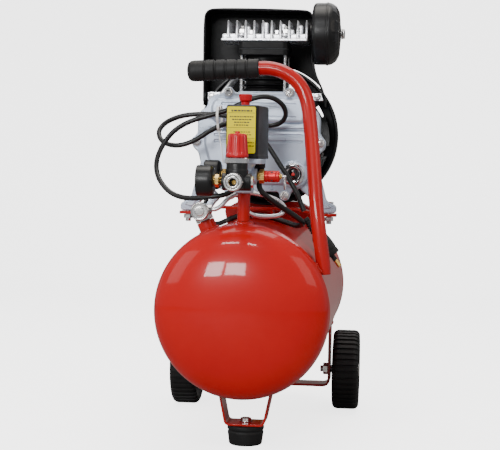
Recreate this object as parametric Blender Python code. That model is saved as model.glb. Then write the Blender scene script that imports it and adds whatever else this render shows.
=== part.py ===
"""Oil-lubricated direct-drive air compressor on a horizontal 24 litre tank with two wheels and a hook handle.

Lengths are millimetres until solid() turns them into metres. The origin is the centre of the front foot's
bottom face. X points right seen from the front, Y runs back along the tank, Z is up.
"""

import math

import bmesh
import bpy
import numpy as np
from mathutils import Matrix, Vector

MM = 0.001

# Tank
TANK_R = 116.0
TANK_Z = 191.0
TANK_FRONT = -77.0
TANK_REAR = 374.0
DOME = 45.0
CHECK_FOOT = (0, -40, 185.0)
WALL = 2.5
GAP = 0.3

# Running gear
WHEEL_R = 62.4
WHEEL_X = 127.0
WHEEL_W = 41.0
AXLE_Y = 287.0
AXLE_Z = 62.4

# Pump and motor
SHAFT_Z = 425.0
CRANK_R = 22.0
CYL_Y = 178.0
BORE_R = 23.5
MOTOR_R = 85.0

# Switch column
POST_X = -1.0
POST_Y = -62.0
PORT_Z = 370.0
REG_X = -2.5
REG_Y = -131.0
OUT_Z = 363.0

# Facets kept on each round, as a share of the full number
FACETS = 0.5

# Cords
CORD_R = 3.5
LEAD_R = 3.75

POWER_ROUTE = [
    (-14, -45, 363.6), (-14, -45, 358), (-18, -46, 350), (-32, -48, 343.5), (-46, -47.5, 341.5), (-62, -44, 339.5),
    (-76, -40, 338.5), (-91, -34, 340), (-105, -26, 345), (-117, -16, 354), (-126, -6, 365), (-131, 4, 377),
    (-132, 13, 390), (-129, 21, 403), (-123, 28, 416), (-113, 33, 429), (-98, 37, 440), (-79, 39, 448),
    (-59, 40, 454), (-40, 41, 460), (-21, 41, 469), (-3, 42, 477), (13, 43, 480), (28, 46, 477), (39, 52, 468),
    (42, 60, 456), (36, 68, 446), (22, 72, 441), (0, 68, 441), (-23, 60, 443), (-44, 53, 441), (-64, 48, 431),
    (-79, 45, 421), (-95, 43, 413), (-110, 44, 410), (-124, 48, 412), (-135, 55, 419), (-139, 64, 430),
    (-133, 73, 441), (-120, 79, 449), (-103, 82, 454), (-75, 82, 456), (-46, 80, 454), (-14, 74, 441),
    (14, 63, 416), (35, 52, 387), (51, 44, 364), (64, 39, 341), (72, 37, 321.5),
]
LEAD_ROUTE = [
    (17, -45, 363.6), (17, -45, 358), (19.5, -45, 351), (28, -42, 342.5), (40, -33, 333), (52, -20, 324.5),
    (63, -4, 316), (71, 14, 308), (70, 31, 303), (61, 44, 301), (47, 53, 304.5), (32, 60, 308.5), (15, 68, 312),
    (-4, 76, 313), (-22, 84, 311), (-37, 97, 306.5), (-44, 115, 303.5), (-46, 140, 302.5), (-46, 170, 302.5),
    (-49, 200, 301.5), (-60, 226, 297.5), (-77, 246, 291), (-94, 262, 291), (-104, 280, 303), (-105, 302, 322),
    (-101, 319, 342), (-98, 328, 360), (-98, 330, 370), (-98, 330, 375.6),
]
DISCHARGE_ROUTE = [
    (-14, 216.4, 570.5), (-14, 220.4, 570.5), (-15, 226.5, 568), (-17.5, 230.5, 562), (-21.5, 231, 552),
    (-28, 228, 541), (-36.5, 220, 530), (-44.5, 208, 519), (-51, 195, 509), (-57.5, 182, 498), (-64.5, 172, 486),
    (-73, 165, 472), (-80.5, 161, 454), (-84, 160, 434), (-84, 160, 410), (-84, 160, 388), (-81, 157, 362), (-74, 148, 346), (-65, 131, 338), (-61, 108, 336),
    (-59.5, 75, 334), (-59.5, 40, 329), (-59.5, 12, 323.5), (-59.5, -6, 322), (-59.5, -23.6, 322),
]
UNLOADER_ROUTE = [
    (-45.7, -42, 324), (-41, -42, 324.6), (-34, -41, 329), (-26, -38, 338), (-14, -33, 345), (5, -25, 347),
    (27, -13, 342), (42, -8, 335), (49, -7, 326), (43, -8, 318), (27, -12, 315), (7, -18, 317),
    (-5, -22, 326), (-8, -25, 342), (-8, -29, 358), (-8, -31, 370), (-8, -31, 377.6),
]
HANDLE_ROUTE = [
    (106, -52, 242), (105.2, -52, 254), (102.4, -51.5, 274), (98.8, -50, 298), (95, -46.5, 324), (91, -38, 362), (86.5, -26.5, 404),
    (82, -15, 440), (79, -9.5, 460), (75, -6.5, 476), (67, -4.5, 492), (54, -3.5, 505), (38, -3.2, 513),
    (22, -3, 516.2), (9, -3, 516), (-20, -3, 514.5), (-50, -3, 512.9), (-82, -3, 511.3),
]

COLOURS = {
    "red_paint": ((0.62, 0.022, 0.018), 0.22, 0.0),
    "tyre": ((0.016, 0.016, 0.017), 0.75, 0.0),
    "black_plastic": ((0.014, 0.014, 0.015), 0.42, 0.0),
    "black_paint": ((0.012, 0.012, 0.013), 0.3, 0.0),
    "cast": ((0.56, 0.59, 0.64), 0.38, 0.6),
    "aluminium": ((0.74, 0.75, 0.77), 0.3, 1.0),
    "zinc": ((0.6, 0.6, 0.6), 0.28, 1.0),
    "steel": ((0.46, 0.46, 0.47), 0.3, 1.0),
    "brass": ((0.72, 0.5, 0.2), 0.28, 1.0),
    "red_plastic": ((0.6, 0.012, 0.02), 0.35, 0.0),
    "dial": ((0.85, 0.85, 0.83), 0.4, 0.0),
    "glass": ((0.05, 0.03, 0.025), 0.08, 0.0),
    "cord": ((0.012, 0.012, 0.012), 0.5, 0.0),
    "iron": ((0.2, 0.2, 0.21), 0.5, 1.0),
}
AXES = {"X": Matrix.Rotation(math.pi / 2, 3, "Y"), "Y": Matrix.Rotation(-math.pi / 2, 3, "X"), "Z": Matrix()}


def clear_scene():
    for obj in list(bpy.data.objects):
        bpy.data.objects.remove(obj, do_unlink=True)


def material(name):
    """The Principled material of this finish, made once."""
    found = bpy.data.materials.get(name)
    if found:
        return found
    colour, roughness, metallic = COLOURS[name]
    found = bpy.data.materials.new(name)
    found.use_nodes = True
    shader = found.node_tree.nodes["Principled BSDF"]
    shader.inputs["Base Color"].default_value = (*colour, 1)
    shader.inputs["Roughness"].default_value = roughness
    shader.inputs["Metallic"].default_value = metallic
    found.diffuse_color = (*colour, 1)
    return found


def solid(name, points, faces, finish, origin=(0, 0, 0), smooth=35):
    """A mesh object from points in millimetres, facing outward, with its origin at the given point."""
    mesh = bpy.data.meshes.new(name)
    origin = Vector(origin)
    mesh.from_pydata([(Vector(p) - origin) * MM for p in points], [], faces)
    shape = bmesh.new()
    shape.from_mesh(mesh)
    bmesh.ops.remove_doubles(shape, verts=shape.verts, dist=1e-6)
    bmesh.ops.recalc_face_normals(shape, faces=shape.faces)
    shape.to_mesh(mesh)
    shape.free()
    obj = bpy.data.objects.new(name, mesh)
    bpy.context.scene.collection.objects.link(obj)
    obj.location = origin * MM
    mesh.materials.append(material(finish))
    if smooth:
        mesh.shade_smooth()
        mesh.set_sharp_from_angle(angle=math.radians(smooth))
    bpy.context.view_layer.update()
    return obj


def combined(base, others, operation):
    """base joined with, or cut by, each of the others, which are used up."""
    for other in others:
        step = base.modifiers.new("join", "BOOLEAN")
        step.operation = operation
        step.solver = "EXACT"
        step.object = other
        graph = bpy.context.evaluated_depsgraph_get()
        mesh = bpy.data.meshes.new_from_object(base.evaluated_get(graph), depsgraph=graph)
        base.modifiers.remove(step)
        old = base.data
        base.data = mesh
        bpy.data.meshes.remove(old)
        bpy.data.objects.remove(other, do_unlink=True)
        bpy.context.view_layer.update()
    base.data.name = base.name
    base.data.set_sharp_from_angle(angle=math.radians(35))
    return base


def join(base, *others):
    return combined(base, others, "UNION")


def cut(base, *others):
    return combined(base, others, "DIFFERENCE")


def facets(steps):
    """The number of facets for a round that would take this many in full. Hexagons stay hexagons."""
    return steps if steps < 9 else max(8, 2 * round(steps * FACETS / 2))


def turned(name, profile, finish, at=(0, 0, 0), axis="Z", steps=32, ring=False, origin=None, turn=0.0):
    """A profile of (radius, height) turned about an axis. A ring profile closes on itself round an open bore."""
    frame = AXES[axis] if isinstance(axis, str) else axis
    steps = facets(steps)
    angles = [math.radians(turn) + 2 * math.pi * k / steps for k in range(steps)]
    points, rows = [], []
    for radius, height in profile:
        row = []
        for angle in angles if radius > 1e-6 else angles[:1]:
            local = Vector((radius * math.cos(angle), radius * math.sin(angle), height))
            row.append(len(points))
            points.append(Vector(at) + frame @ local)
        rows.append(row)
    faces = []
    pairs = list(zip(rows, rows[1:] + rows[:1])) if ring else list(zip(rows, rows[1:]))
    for low, high in pairs:
        for k in range(steps):
            corner = [low[k % len(low)], low[(k + 1) % len(low)], high[(k + 1) % len(high)], high[k % len(high)]]
            face = list(dict.fromkeys(corner))
            if len(face) > 2:
                faces.append(face)
    if not ring:
        for row in (rows[0], rows[-1]):
            if len(row) > 1:
                faces.append(row)
    return solid(name, points, faces, finish, origin=origin if origin is not None else (0, 0, 0))


def rod(name, radius, start, end, finish, at, axis="Z", steps=20, bevel=0.0, turn=0.0, origin=None):
    """A round or, with few steps, a hexagonal bar along an axis, with chamfered ends."""
    b = bevel
    if b:
        profile = [(radius - b, start), (radius, start + b), (radius, end - b), (radius - b, end)]
    else:
        profile = [(radius, start), (radius, end)]
    return turned(name, profile, finish, at=at, axis=axis, steps=steps, turn=turn, origin=origin)


def slab(name, outline, low, high, finish, axis="Y", bevel=0.0, origin=(0, 0, 0)):
    """An outline pushed along an axis. The outline is (x, z) along Y, (y, z) along X and (x, y) along Z."""
    place = {
        "Y": lambda a, b, t: (a, t, b),
        "X": lambda a, b, t: (t, a, b),
        "Z": lambda a, b, t: (a, b, t),
    }[axis]
    count = len(outline)
    levels = [low, high]
    outlines = [outline, outline]
    if bevel:
        inner = shrunk(outline, bevel)
        levels = [low, low + bevel, high - bevel, high]
        outlines = [inner, outline, outline, inner]
    points = [place(a, b, t) for t, line in zip(levels, outlines) for a, b in line]
    faces = [list(range(count)), list(range((len(levels) - 1) * count, len(levels) * count))]
    for level in range(len(levels) - 1):
        base = level * count
        for k in range(count):
            after = (k + 1) % count
            faces.append([base + k, base + after, base + count + after, base + count + k])
    return solid(name, points, faces, finish, origin=origin)


def shrunk(outline, inset):
    """The closed outline moved inward by the inset, corner by corner."""
    line = [Vector(p) for p in outline]
    area = sum(a.x * b.y - b.x * a.y for a, b in zip(line, line[1:] + line[:1]))
    side = 1 if area > 0 else -1
    result = []
    for k, corner in enumerate(line):
        back = (corner - line[k - 1]).normalized()
        ahead = (line[(k + 1) % len(line)] - corner).normalized()
        normal = (Vector((-back.y, back.x)) + Vector((-ahead.y, ahead.x))) * side
        normal.normalize()
        lean = max(0.35, normal.dot(Vector((-ahead.y, ahead.x)) * side))
        result.append(tuple(corner + normal * inset / lean))
    return result


def rounded(outline, radius, steps=3):
    """The outline with each corner replaced by a short arc, given one radius or one for each corner."""
    line = [Vector(p) for p in outline]
    result = []
    for k, corner in enumerate(line):
        reach = radius[k] if isinstance(radius, (list, tuple)) else radius
        before, after = line[k - 1], line[(k + 1) % len(line)]
        if reach <= 0:
            result.append(tuple(corner))
            continue
        reach = min(reach, (before - corner).length * 0.45, (after - corner).length * 0.45)
        start = corner + (before - corner).normalized() * reach
        end = corner + (after - corner).normalized() * reach
        for step in range(steps + 1):
            t = step / steps
            result.append(tuple(start.lerp(corner, t).lerp(corner.lerp(end, t), t)))
    return result


def box_outline(a0, b0, a1, b1, radius=0.0, steps=3):
    outline = [(a0, b0), (a1, b0), (a1, b1), (a0, b1)]
    return rounded(outline, radius, steps) if radius else outline


def mirrored(half):
    """A closed outline from its right half, listed from the bottom middle to the top middle."""
    return half + [(-x, z) for x, z in reversed(half) if abs(x) > 1e-6]


def smooth_route(route, count):
    """Points along a centripetal Catmull-Rom curve through the route's points: even, and one near each end."""
    line = [Vector(p) for p in route]
    line = [2 * line[0] - line[1]] + line + [2 * line[-1] - line[-2]]
    dense = []
    for p0, p1, p2, p3 in zip(line, line[1:], line[2:], line[3:]):
        knots = [0.0]
        for a, b in ((p0, p1), (p1, p2), (p2, p3)):
            knots.append(knots[-1] + math.sqrt((b - a).length))
        t0, t1, t2, t3 = knots
        for step in range(16):
            t = t1 + (t2 - t1) * step / 16
            a1 = p0.lerp(p1, (t - t0) / (t1 - t0))
            a2 = p1.lerp(p2, (t - t1) / (t2 - t1))
            a3 = p2.lerp(p3, (t - t2) / (t3 - t2))
            b1 = a1.lerp(a2, (t - t0) / (t2 - t0))
            b2 = a2.lerp(a3, (t - t1) / (t3 - t1))
            dense.append(b1.lerp(b2, (t - t1) / (t2 - t1)))
    dense.append(line[-2])
    table = np.array(dense)
    lengths = np.concatenate([[0.0], np.cumsum(np.linalg.norm(np.diff(table, axis=0), axis=1))])
    wanted = np.linspace(0.0, lengths[-1], count - 2)
    wanted = np.sort(np.append(wanted, [4.0, lengths[-1] - 4.0]))
    return [Vector([np.interp(w, lengths, table[:, k]) for k in range(3)]) for w in wanted]


def pipe(name, route, radius, finish, count, steps=10, bore=0.0, origin=(0, 0, 0)):
    """A tube along a smooth route, hollow from end to end when it has a bore."""
    line = smooth_route(route, count)
    tangents = [(line[min(k + 1, count - 1)] - line[max(k - 1, 0)]).normalized() for k in range(count)]
    side = tangents[0].orthogonal().normalized()
    points, rings = [], []
    for point, tangent in zip(line, tangents):
        side = (side - tangent * side.dot(tangent)).normalized()
        other = tangent.cross(side)
        rows = []
        for r in (radius, bore) if bore else (radius,):
            row = []
            for k in range(steps):
                angle = 2 * math.pi * k / steps
                row.append(len(points))
                points.append(point + (side * math.cos(angle) + other * math.sin(angle)) * r)
            rows.append(row)
        rings.append(rows)
    faces = []
    for low, high in zip(rings, rings[1:]):
        for inner, outer in zip(low, high):
            for k in range(steps):
                after = (k + 1) % steps
                faces.append([inner[k], inner[after], outer[after], outer[k]])
    for rows in (rings[0], rings[-1]):
        if bore:
            for k in range(steps):
                after = (k + 1) % steps
                faces.append([rows[0][k], rows[0][after], rows[1][after], rows[1][k]])
        else:
            faces.append(rows[0])
    return solid(name, points, faces, finish, origin=origin)


def cord(name, route, radius, finish, count):
    """A flexible cord as a curve with a round bevel and closed ends."""
    curve = bpy.data.curves.new(name, "CURVE")
    curve.dimensions = "3D"
    curve.bevel_depth = radius * MM
    curve.bevel_resolution = 2
    curve.use_fill_caps = True
    line = smooth_route(route, count)
    spline = curve.splines.new("POLY")
    spline.points.add(count - 1)
    for point, place in zip(spline.points, line):
        point.co = (*(place * MM), 1)
    spline.use_smooth = True
    curve.materials.append(material(finish))
    obj = bpy.data.objects.new(name, curve)
    bpy.context.scene.collection.objects.link(obj)
    return obj


def tank_cutter(extra=GAP):
    """A plain drum a little larger than the tank, which saddles and welded ends are cut to."""
    return rod("cutter", TANK_R + extra, TANK_FRONT - 40, TANK_REAR + 40, "red_paint", (0, 0, TANK_Z), "Y", steps=96)


def along(direction):
    """The rotation that turns +Z to this direction."""
    return Vector((0, 0, 1)).rotation_difference(Vector(direction)).to_matrix()


def air_tank():
    """Rolled shell with two pressed domes, weld beads at the seams, and three welded sockets with open bores."""

    def profile(radius, dome, bead):
        rows = []
        for k in range(7):
            angle = math.pi / 2 * k / 7
            rise = math.cos(angle) ** 0.9
            rows.append((radius * math.sin(angle) ** 0.95 if k else 0.0, TANK_FRONT - dome * rise))
        rows.append((radius, TANK_FRONT - 2.5))
        if bead:
            rows += [(radius + 0.9, TANK_FRONT - 1.2), (radius + 0.9, TANK_FRONT + 1.2), (radius, TANK_FRONT + 2.5)]
            rows += [(radius, TANK_REAR - 2.5), (radius + 0.9, TANK_REAR - 1.2), (radius + 0.9, TANK_REAR + 1.2)]
        rows.append((radius, TANK_REAR + 2.5))
        for k in range(6, -1, -1):
            angle = math.pi / 2 * k / 7
            rise = math.cos(angle) ** 0.9
            rows.append((radius * math.sin(angle) ** 0.95 if k else 0.0, TANK_REAR + dome * rise))
        return rows

    tank = turned("air_tank", profile(TANK_R, DOME, True), "red_paint", at=(0, 0, TANK_Z), axis="Y", steps=72)
    radial = Vector((-51, 0, 114)).normalized()
    lean = along(radial)
    check_at = Vector(CHECK_FOOT)
    join(
        tank,
        rod("boss", 11, TANK_R - 6, TANK_R + 3, "red_paint", (POST_X, POST_Y, TANK_Z), "Z", steps=20, bevel=0.8),
        rod("boss", 12, 112, 135, "red_paint", check_at, lean, steps=20, bevel=0.8),
        rod("boss", 11, 59, 81, "red_paint", (0, 150, 0), "Z", steps=20, bevel=0.8),
    )
    hollow = turned(
        "hollow", profile(TANK_R - WALL, DOME - WALL, False), "red_paint", at=(0, 0, TANK_Z), axis="Y", steps=32
    )
    cut(
        tank,
        hollow,
        rod("bore", 4.5, TANK_R - 12, TANK_R + 30, "red_paint", (POST_X, POST_Y, TANK_Z), "Z", steps=12),
        rod("bore", 7.6, 102, 150, "red_paint", check_at, lean, steps=12),
        rod("bore", 6.6, 40, 95, "red_paint", (0, 150, 0), "Z", steps=12),
    )
    return tank


def running_gear():
    """Front foot with its bracket and bolt, the axle strap, and two wheels on shoulder bolts."""
    outer = [(-27, 27.3), (27, 27.3), (39.4, 87), (36.2, 87.6), (25, 30.5), (-25, 30.5), (-36.2, 87.6), (-39.4, 87)]
    strap = slab("front_foot_bracket", outer, -20, 20, "red_paint", bevel=0.4)
    cut(strap, tank_cutter(), rod("hole", 4.5, 20, 40, "red_paint", (0, 0, 0), steps=16))
    foot = [
        (0, 0), (21.8, 0), (22.9, 1.2), (25.0, 17.5), (24.3, 18.4), (24.3, 20.6), (25.5, 21.5), (25.5, 25.5),
        (24.0, 27), (4.6, 27), (4.6, 12.4), (9.4, 12.4), (9.4, 4.4), (0, 4.4),
    ]
    turned("front_foot", foot, "tyre", steps=40)
    bolt = rod("front_foot_bolt", 7.4, 30.8, 36.2, "zinc", (0, 0, 0), steps=6, bevel=0.7)
    join(
        bolt,
        rod("shank", 4.0, 5.5, 31.5, "zinc", (0, 0, 0), steps=16),
        rod("nut", 8.0, 5.0, 11.6, "zinc", (0, 0, 0), steps=6, bevel=0.6),
    )

    leg, low, thick = 102.5, 36.0, 4.0
    outline = rounded([(-leg, 144), (-leg, low), (leg, low), (leg, 144)], [0, 9, 9, 0], 4)
    inside = rounded(
        [(leg - thick, 144), (leg - thick, low + thick), (-leg + thick, low + thick), (-leg + thick, 144)],
        [0, 6, 6, 0], 4,
    )
    strap = slab("axle_strap", outline + inside, AXLE_Y - 18, AXLE_Y + 18, "red_paint")
    cut(strap, tank_cutter(), rod("hole", 5.6, -130, 130, "red_paint", (0, AXLE_Y, AXLE_Z), "X", steps=16))

    for side, sign in (("left", -1), ("right", 1)):
        half = WHEEL_W / 2
        profile = [
            (6.6, -17), (14, -17), (14, -8), (42, -6), (50, -half), (WHEEL_R - 5.5, -half), (WHEEL_R, -half + 7),
            (WHEEL_R, half - 7), (WHEEL_R - 5.5, half), (50, half), (42, 6), (14, 8), (14, 17), (6.6, 17),
        ]
        centre = (sign * WHEEL_X, AXLE_Y, AXLE_Z)
        turned(f"wheel_{side}", profile, "tyre", at=centre, axis="X", steps=60, ring=True, origin=centre)
        rows = [(9.2, 17.4), (10, 18.2), (10, 20.2), (9.2, 21.0)]
        head = turned(f"axle_bolt_{side}", rows, "zinc", at=centre, axis=AXES["X"] @ Matrix.Scale(sign, 3, (0, 0, 1)),
                      steps=6)
        shank = [(6.0, 18.2), (6.0, -23.5), (5.0, -23.9), (5.0, -41)]
        nut = [(9.0, -28.9), (9.6, -29.6), (9.6, -37), (9.0, -37.7)]
        frame = AXES["X"] @ Matrix.Scale(sign, 3, (0, 0, 1))
        join(
            head,
            turned("shank", shank, "zinc", at=centre, axis=frame, steps=20),
            turned("nut", nut, "zinc", at=centre, axis=frame, steps=6),
        )


def handle():
    """A bent tube welded to the tank's shoulder, with a ribbed rubber grip pushed over its free end."""
    tube = pipe("handle_tube", HANDLE_ROUTE, 9.6, "red_paint", 22, steps=12, bore=7.8)
    cut(tube, tank_cutter())
    direction = Vector((-1, 0, -0.0516)).normalized()
    profile = [(10.0, 0), (12.4, 0), (13.0, 0.8)]
    for k in range(5):
        at = 14.5 + 14.5 * k
        reach = 13.1 + 0.36 * k
        profile += [(reach, at), (reach - 1.2, at + 1.7), (reach + 0.1, at + 3.4)]
    profile += [(14.6, 88), (13.6, 93.5), (10.5, 97), (6, 98.6), (0, 99), (0, 94.5), (7, 94), (10.0, 92)]
    grip_ring = profile
    turned("handle_grip", grip_ring, "tyre", at=(10, -3, 516.1), axis=along(direction), steps=28, ring=True)


def saddles():
    """The two welded brackets that carry the pump's feet and the motor."""
    half = [(13, 290), (24, 290), (24, 320), (56, 319.6), (86, 312), (114, 311.7), (114, 315.7), (87, 316), (57, 323.8),
            (0, 324)]
    left = [(-x, z) for x, z in reversed(half[:-1])]
    front = slab("front_saddle", half + left, 100, 130, "red_paint")
    cut(
        front, tank_cutter(), slab("inner", box_outline(-21, 280, 21, 320.2), 103, 127, "red_paint"),
        rod("hole", 4.4, 300, 330, "red_paint", (103, 115, 0), steps=14),
        rod("hole", 4.4, 300, 330, "red_paint", (-103, 115, 0), steps=14),
    )
    outline = [(-66, 270), (66, 270), (72, 314), (48, 327), (-48, 327), (-72, 314)]
    rear = slab("rear_saddle", outline, 285, 320, "red_paint", bevel=1.0)
    inner = [(-70, 260), (62, 260), (68, 312), (46.5, 323.5), (-46.5, 323.5), (-68, 312)]
    inner[0] = (-62, 260)
    cut(rear, slab("inner", inner, 288.5, 316.5, "red_paint"), tank_cutter())


def front_outline(grow=0.0):
    """Right half of the crankcase seen from the front, with its lugs, from the bottom middle to the top middle."""
    half = [
        (0, 346), (31, 346), (33, 337), (39, 333.5), (45, 337), (48, 346), (62, 352), (76, 366), (84, 386), (88, 402),
        (96, 409), (97, 417), (93, 425), (89, 430), (89, 452), (85, 462), (76, 467), (74, 478), (66, 485), (53, 487),
        (49, 494), (40, 494.5), (35, 488), (0, 488),
    ]
    return [(x + math.copysign(grow, x) if x else 0, z) for x, z in half]


def crankcase():
    """Hollow casting: a front flange, a narrower body, four legs' arms, a top seat for the cylinder, a rear neck."""
    flange = slab("crankcase", mirrored(front_outline()), 106.2, 118, "cast")
    body = mirrored([
        (0, 349), (46, 349), (62, 362), (71, 380), (73, 402), (73, 452), (66, 470), (56, 480), (0, 482),
    ])
    shell = slab("body", body, 114, 226, "cast")
    arms = []
    for sign in (-1, 1):
        arm = [(66, 385), (84, 386), (98, 330), (113.5, 326), (113.5, 316.4), (93, 316.4), (88, 327), (60, 350)]
        arms.append(slab("arm", [(sign * x, z) for x, z in arm], 106.4, 127, "cast"))
    rear_neck = rod("neck", 62, 222, 233, "cast", (0, 0, SHAFT_Z), "Y", steps=32, bevel=1.0)
    seat = slab("seat", box_outline(-37, CYL_Y - 37, 37, CYL_Y + 37, 9), 470, 492.6, "cast", "Z", bevel=1.0)
    join(flange, shell, *arms, rear_neck, seat)
    hollow = mirrored([
        (0, 356), (43, 356), (56, 367), (64, 383), (66, 402), (66, 450), (60, 465), (52, 474), (0, 476),
    ])
    cut(
        flange,
        slab("hollow", hollow, 100, 219, "cast"),
        rod("bore", 26.2, 440, 500, "cast", (0, CYL_Y, 0), steps=56),
        rod("bearing", 13.0, 200, 240, "cast", (0, 0, SHAFT_Z), "Y", steps=20),
        rod("hole", 4.4, 300, 340, "cast", (103, 115, 0), steps=14),
        rod("hole", 4.4, 300, 340, "cast", (-103, 115, 0), steps=14),
    )
    for x in (-32, 32):
        for y in (CYL_Y - 29, CYL_Y + 29):
            cut(flange, rod("hole", 3.4, 481, 500, "cast", (x, y, 0), steps=12))
    for x, z in ((-90, 417), (90, 417), (-39.5, 341), (39.5, 341)):
        cut(flange, rod("hole", 3.4, 100, 116, "cast", (x, 0, z), "Y", steps=12))
    return flange


def cover():
    """The cast front cover with its stepped panels, the sight glass and its four lower bolts."""
    plate = slab("crankcase_cover", mirrored(front_outline(-0.4)), 97.5, 105.9, "cast", bevel=1.0)
    panel = rounded([(-66, 446), (66, 446), (70, 470), (62, 480), (-62, 480), (-70, 470)], 6, 2)
    lower = [(-78, 404), (-66, 372), (-50, 356), (50, 356), (66, 372), (78, 404), (80, 434), (-80, 434)]
    lower = rounded(lower, 9, 2)
    join(
        plate,
        slab("panel", panel, 92.0, 99.0, "cast"),
        slab("panel", lower, 94.5, 99.0, "cast"),
        rod("boss", 20, 90.5, 99.0, "cast", (52, 0, 372), "Y", steps=28, bevel=1.0),
    )
    cut(
        plate,
        rod("hole", 13.3, 80, 120, "cast", (52, 0, 372), "Y", steps=28),
        slab("groove", rounded([(-62, 417), (62, 417), (62, 421), (-62, 421)], 1.5, 2), 90, 96.2, "cast"),
        slab("groove", rounded([(-62, 425), (62, 425), (62, 429), (-62, 429)], 1.5, 2), 90, 96.2, "cast"),
        slab("groove", rounded([(-52, 460), (52, 460), (52, 463.5), (-52, 463.5)], 1.5, 2), 88, 93.4, "cast"),
        slab("recess", mirrored([(0, 368), (28, 368), (50, 398), (56, 412), (0, 412)]), 101.0, 110, "cast"),
    )
    for x, z in ((-90, 417), (90, 417), (-39.5, 341), (39.5, 341)):
        cut(plate, rod("hole", 3.4, 80, 120, "cast", (x, 0, z), "Y", steps=12))
    for k, (x, z) in enumerate(((-90, 417), (90, 417), (-39.5, 341), (39.5, 341))):
        bolt = rod(f"cover_bolt_{k + 1}", 5.9, 92.2, 97.2, "zinc", (x, 0, z), "Y", steps=6, bevel=0.6)
        join(bolt, rod("shank", 3.0, 96.5, 114.5, "zinc", (x, 0, z), "Y", steps=12))
    glass = [(0, 87.6), (10, 87.6), (11, 86.4), (15.6, 86.4), (16.6, 87.4), (16.6, 90.2), (12.9, 90.2), (12.9, 103),
             (0, 103)]
    turned("sight_glass", glass, "glass", at=(52, 0, 372), axis="Y", steps=28)


def pump_top():
    """Cylinder, valve plate, finned head and the four studs through them."""
    barrel = [
        (BORE_R, 465), (25.6, 465), (25.6, 492.9), (36, 492.9), (36, 497), (28.2, 498.5), (28.2, 503), (33, 504),
        (33, 506), (28.2, 507), (28.2, 524), (33, 525), (33, 527),
        (28.2, 528), (28.2, 545), (36, 549), (36, 554.7),
        (BORE_R, 554.7),
    ]
    cylinder = turned("cylinder", barrel, "black_paint", at=(0, CYL_Y, 0), steps=56, ring=True)
    plate = slab(
        "valve_plate", box_outline(-37, CYL_Y - 37, 37, CYL_Y + 37, 9), 555, 566.5, "black_paint", "Z", bevel=0.8
    )
    comb = [(-63, 566.8), (65.5, 566.8)]
    top, floor = 597.0, 576.5
    fins = 10
    pitch = 128.5 / fins
    for k in range(fins):
        right = 65.5 - k * pitch
        comb += [(right, top if k else top - 3), (right - 3.6, top)]
        if k < fins - 1:
            comb += [(right - 4.6, floor), (right - pitch - 0.0, floor)]
    comb += [(-63, top - 3)]
    head = slab("cylinder_head", comb, 140, 216, "aluminium")
    for k in range(fins - 1):
        right = 65.5 - k * pitch - 4.6
        cut(head, slab("front", box_outline(right - pitch + 4.6, 569.8, right, 580), 139, 149, "aluminium"))
    cut(
        head,
        slab("chamber", box_outline(-24, 158, -3, 198, 4), 560, 572.5, "aluminium", "Z"),
        slab("chamber", box_outline(3, 158, 24, 198, 4), 560, 572.5, "aluminium", "Z"),
        rod("port", 3.4, 190, 230, "aluminium", (-14, 0, 570), "Y", steps=14),
        rod("port", 3.4, 10, 75, "aluminium", (0, 185, 571), "X", steps=14),
    )
    for x in (-32, 32):
        for y in (CYL_Y - 29, CYL_Y + 29):
            cut(cylinder, rod("hole", 3.3, 480, 560, "black_paint", (x, y, 0), steps=12))
            cut(plate, rod("hole", 3.3, 540, 580, "black_paint", (x, y, 0), steps=12))
            cut(head, rod("hole", 7.4, 576.2, 610, "aluminium", (x, y, 0), steps=18))
            cut(head, rod("hole", 3.3, 540, 600, "aluminium", (x, y, 0), steps=12))
    cut(plate, rod("valve", 4, 540, 580, "black_paint", (-13, CYL_Y, 0), steps=14),
        rod("valve", 4, 540, 580, "black_paint", (13, CYL_Y, 0), steps=14))
    k = 0
    for x in (-32, 32):
        for y in (CYL_Y - 29, CYL_Y + 29):
            k += 1
            stud = rod(f"head_stud_{k}", 2.8, 483, 586, "zinc", (x, y, 0), steps=12, bevel=0.5)
            join(stud, rod("nut", 6.2, 576.8, 582.4, "zinc", (x, y, 0), steps=6, bevel=0.5))
    return cylinder


def air_filter():
    """Intake filter: a drum on the head's right end with a domed cover held by a wing nut."""
    centre = (0, 180, 581)
    base = [
        (9, 66), (13, 66), (13, 69.8), (40, 69.8), (45, 71.5), (46, 74), (46, 92), (43.5, 92.6), (43.5, 74.5),
        (40, 73), (9, 73),
    ]
    turned("filter_base", base, "black_plastic", at=centre, axis="X", steps=48, ring=True)
    lid = [
        (4.2, 112.4), (20, 111.4), (34, 108.6), (42, 104), (46, 97.5), (46, 92.9), (43.2, 92.9), (43.2, 96.6),
        (38, 102.8), (22, 107.8), (4.2, 109.2),
    ]
    turned("filter_cover", lid, "black_plastic", at=centre, axis="X", steps=48, ring=True)
    nut = rod("filter_wing_nut", 6.5, 112.8, 117.5, "zinc", centre, "X", steps=16, bevel=0.6, origin=centre)
    wing = rounded([(-13.5, 574.5), (13.5, 574.5), (14.5, 587.5), (-14.5, 587.5)], 3)
    wing = [(y + 180, z) for y, z in wing]
    join(
        nut,
        slab("wing", wing, 114.4, 119.0, "black_plastic", "X", bevel=0.6),
        rod("stem", 3.2, 76.0, 114.0, "black_plastic", centre, "X", steps=14),
    )


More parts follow.
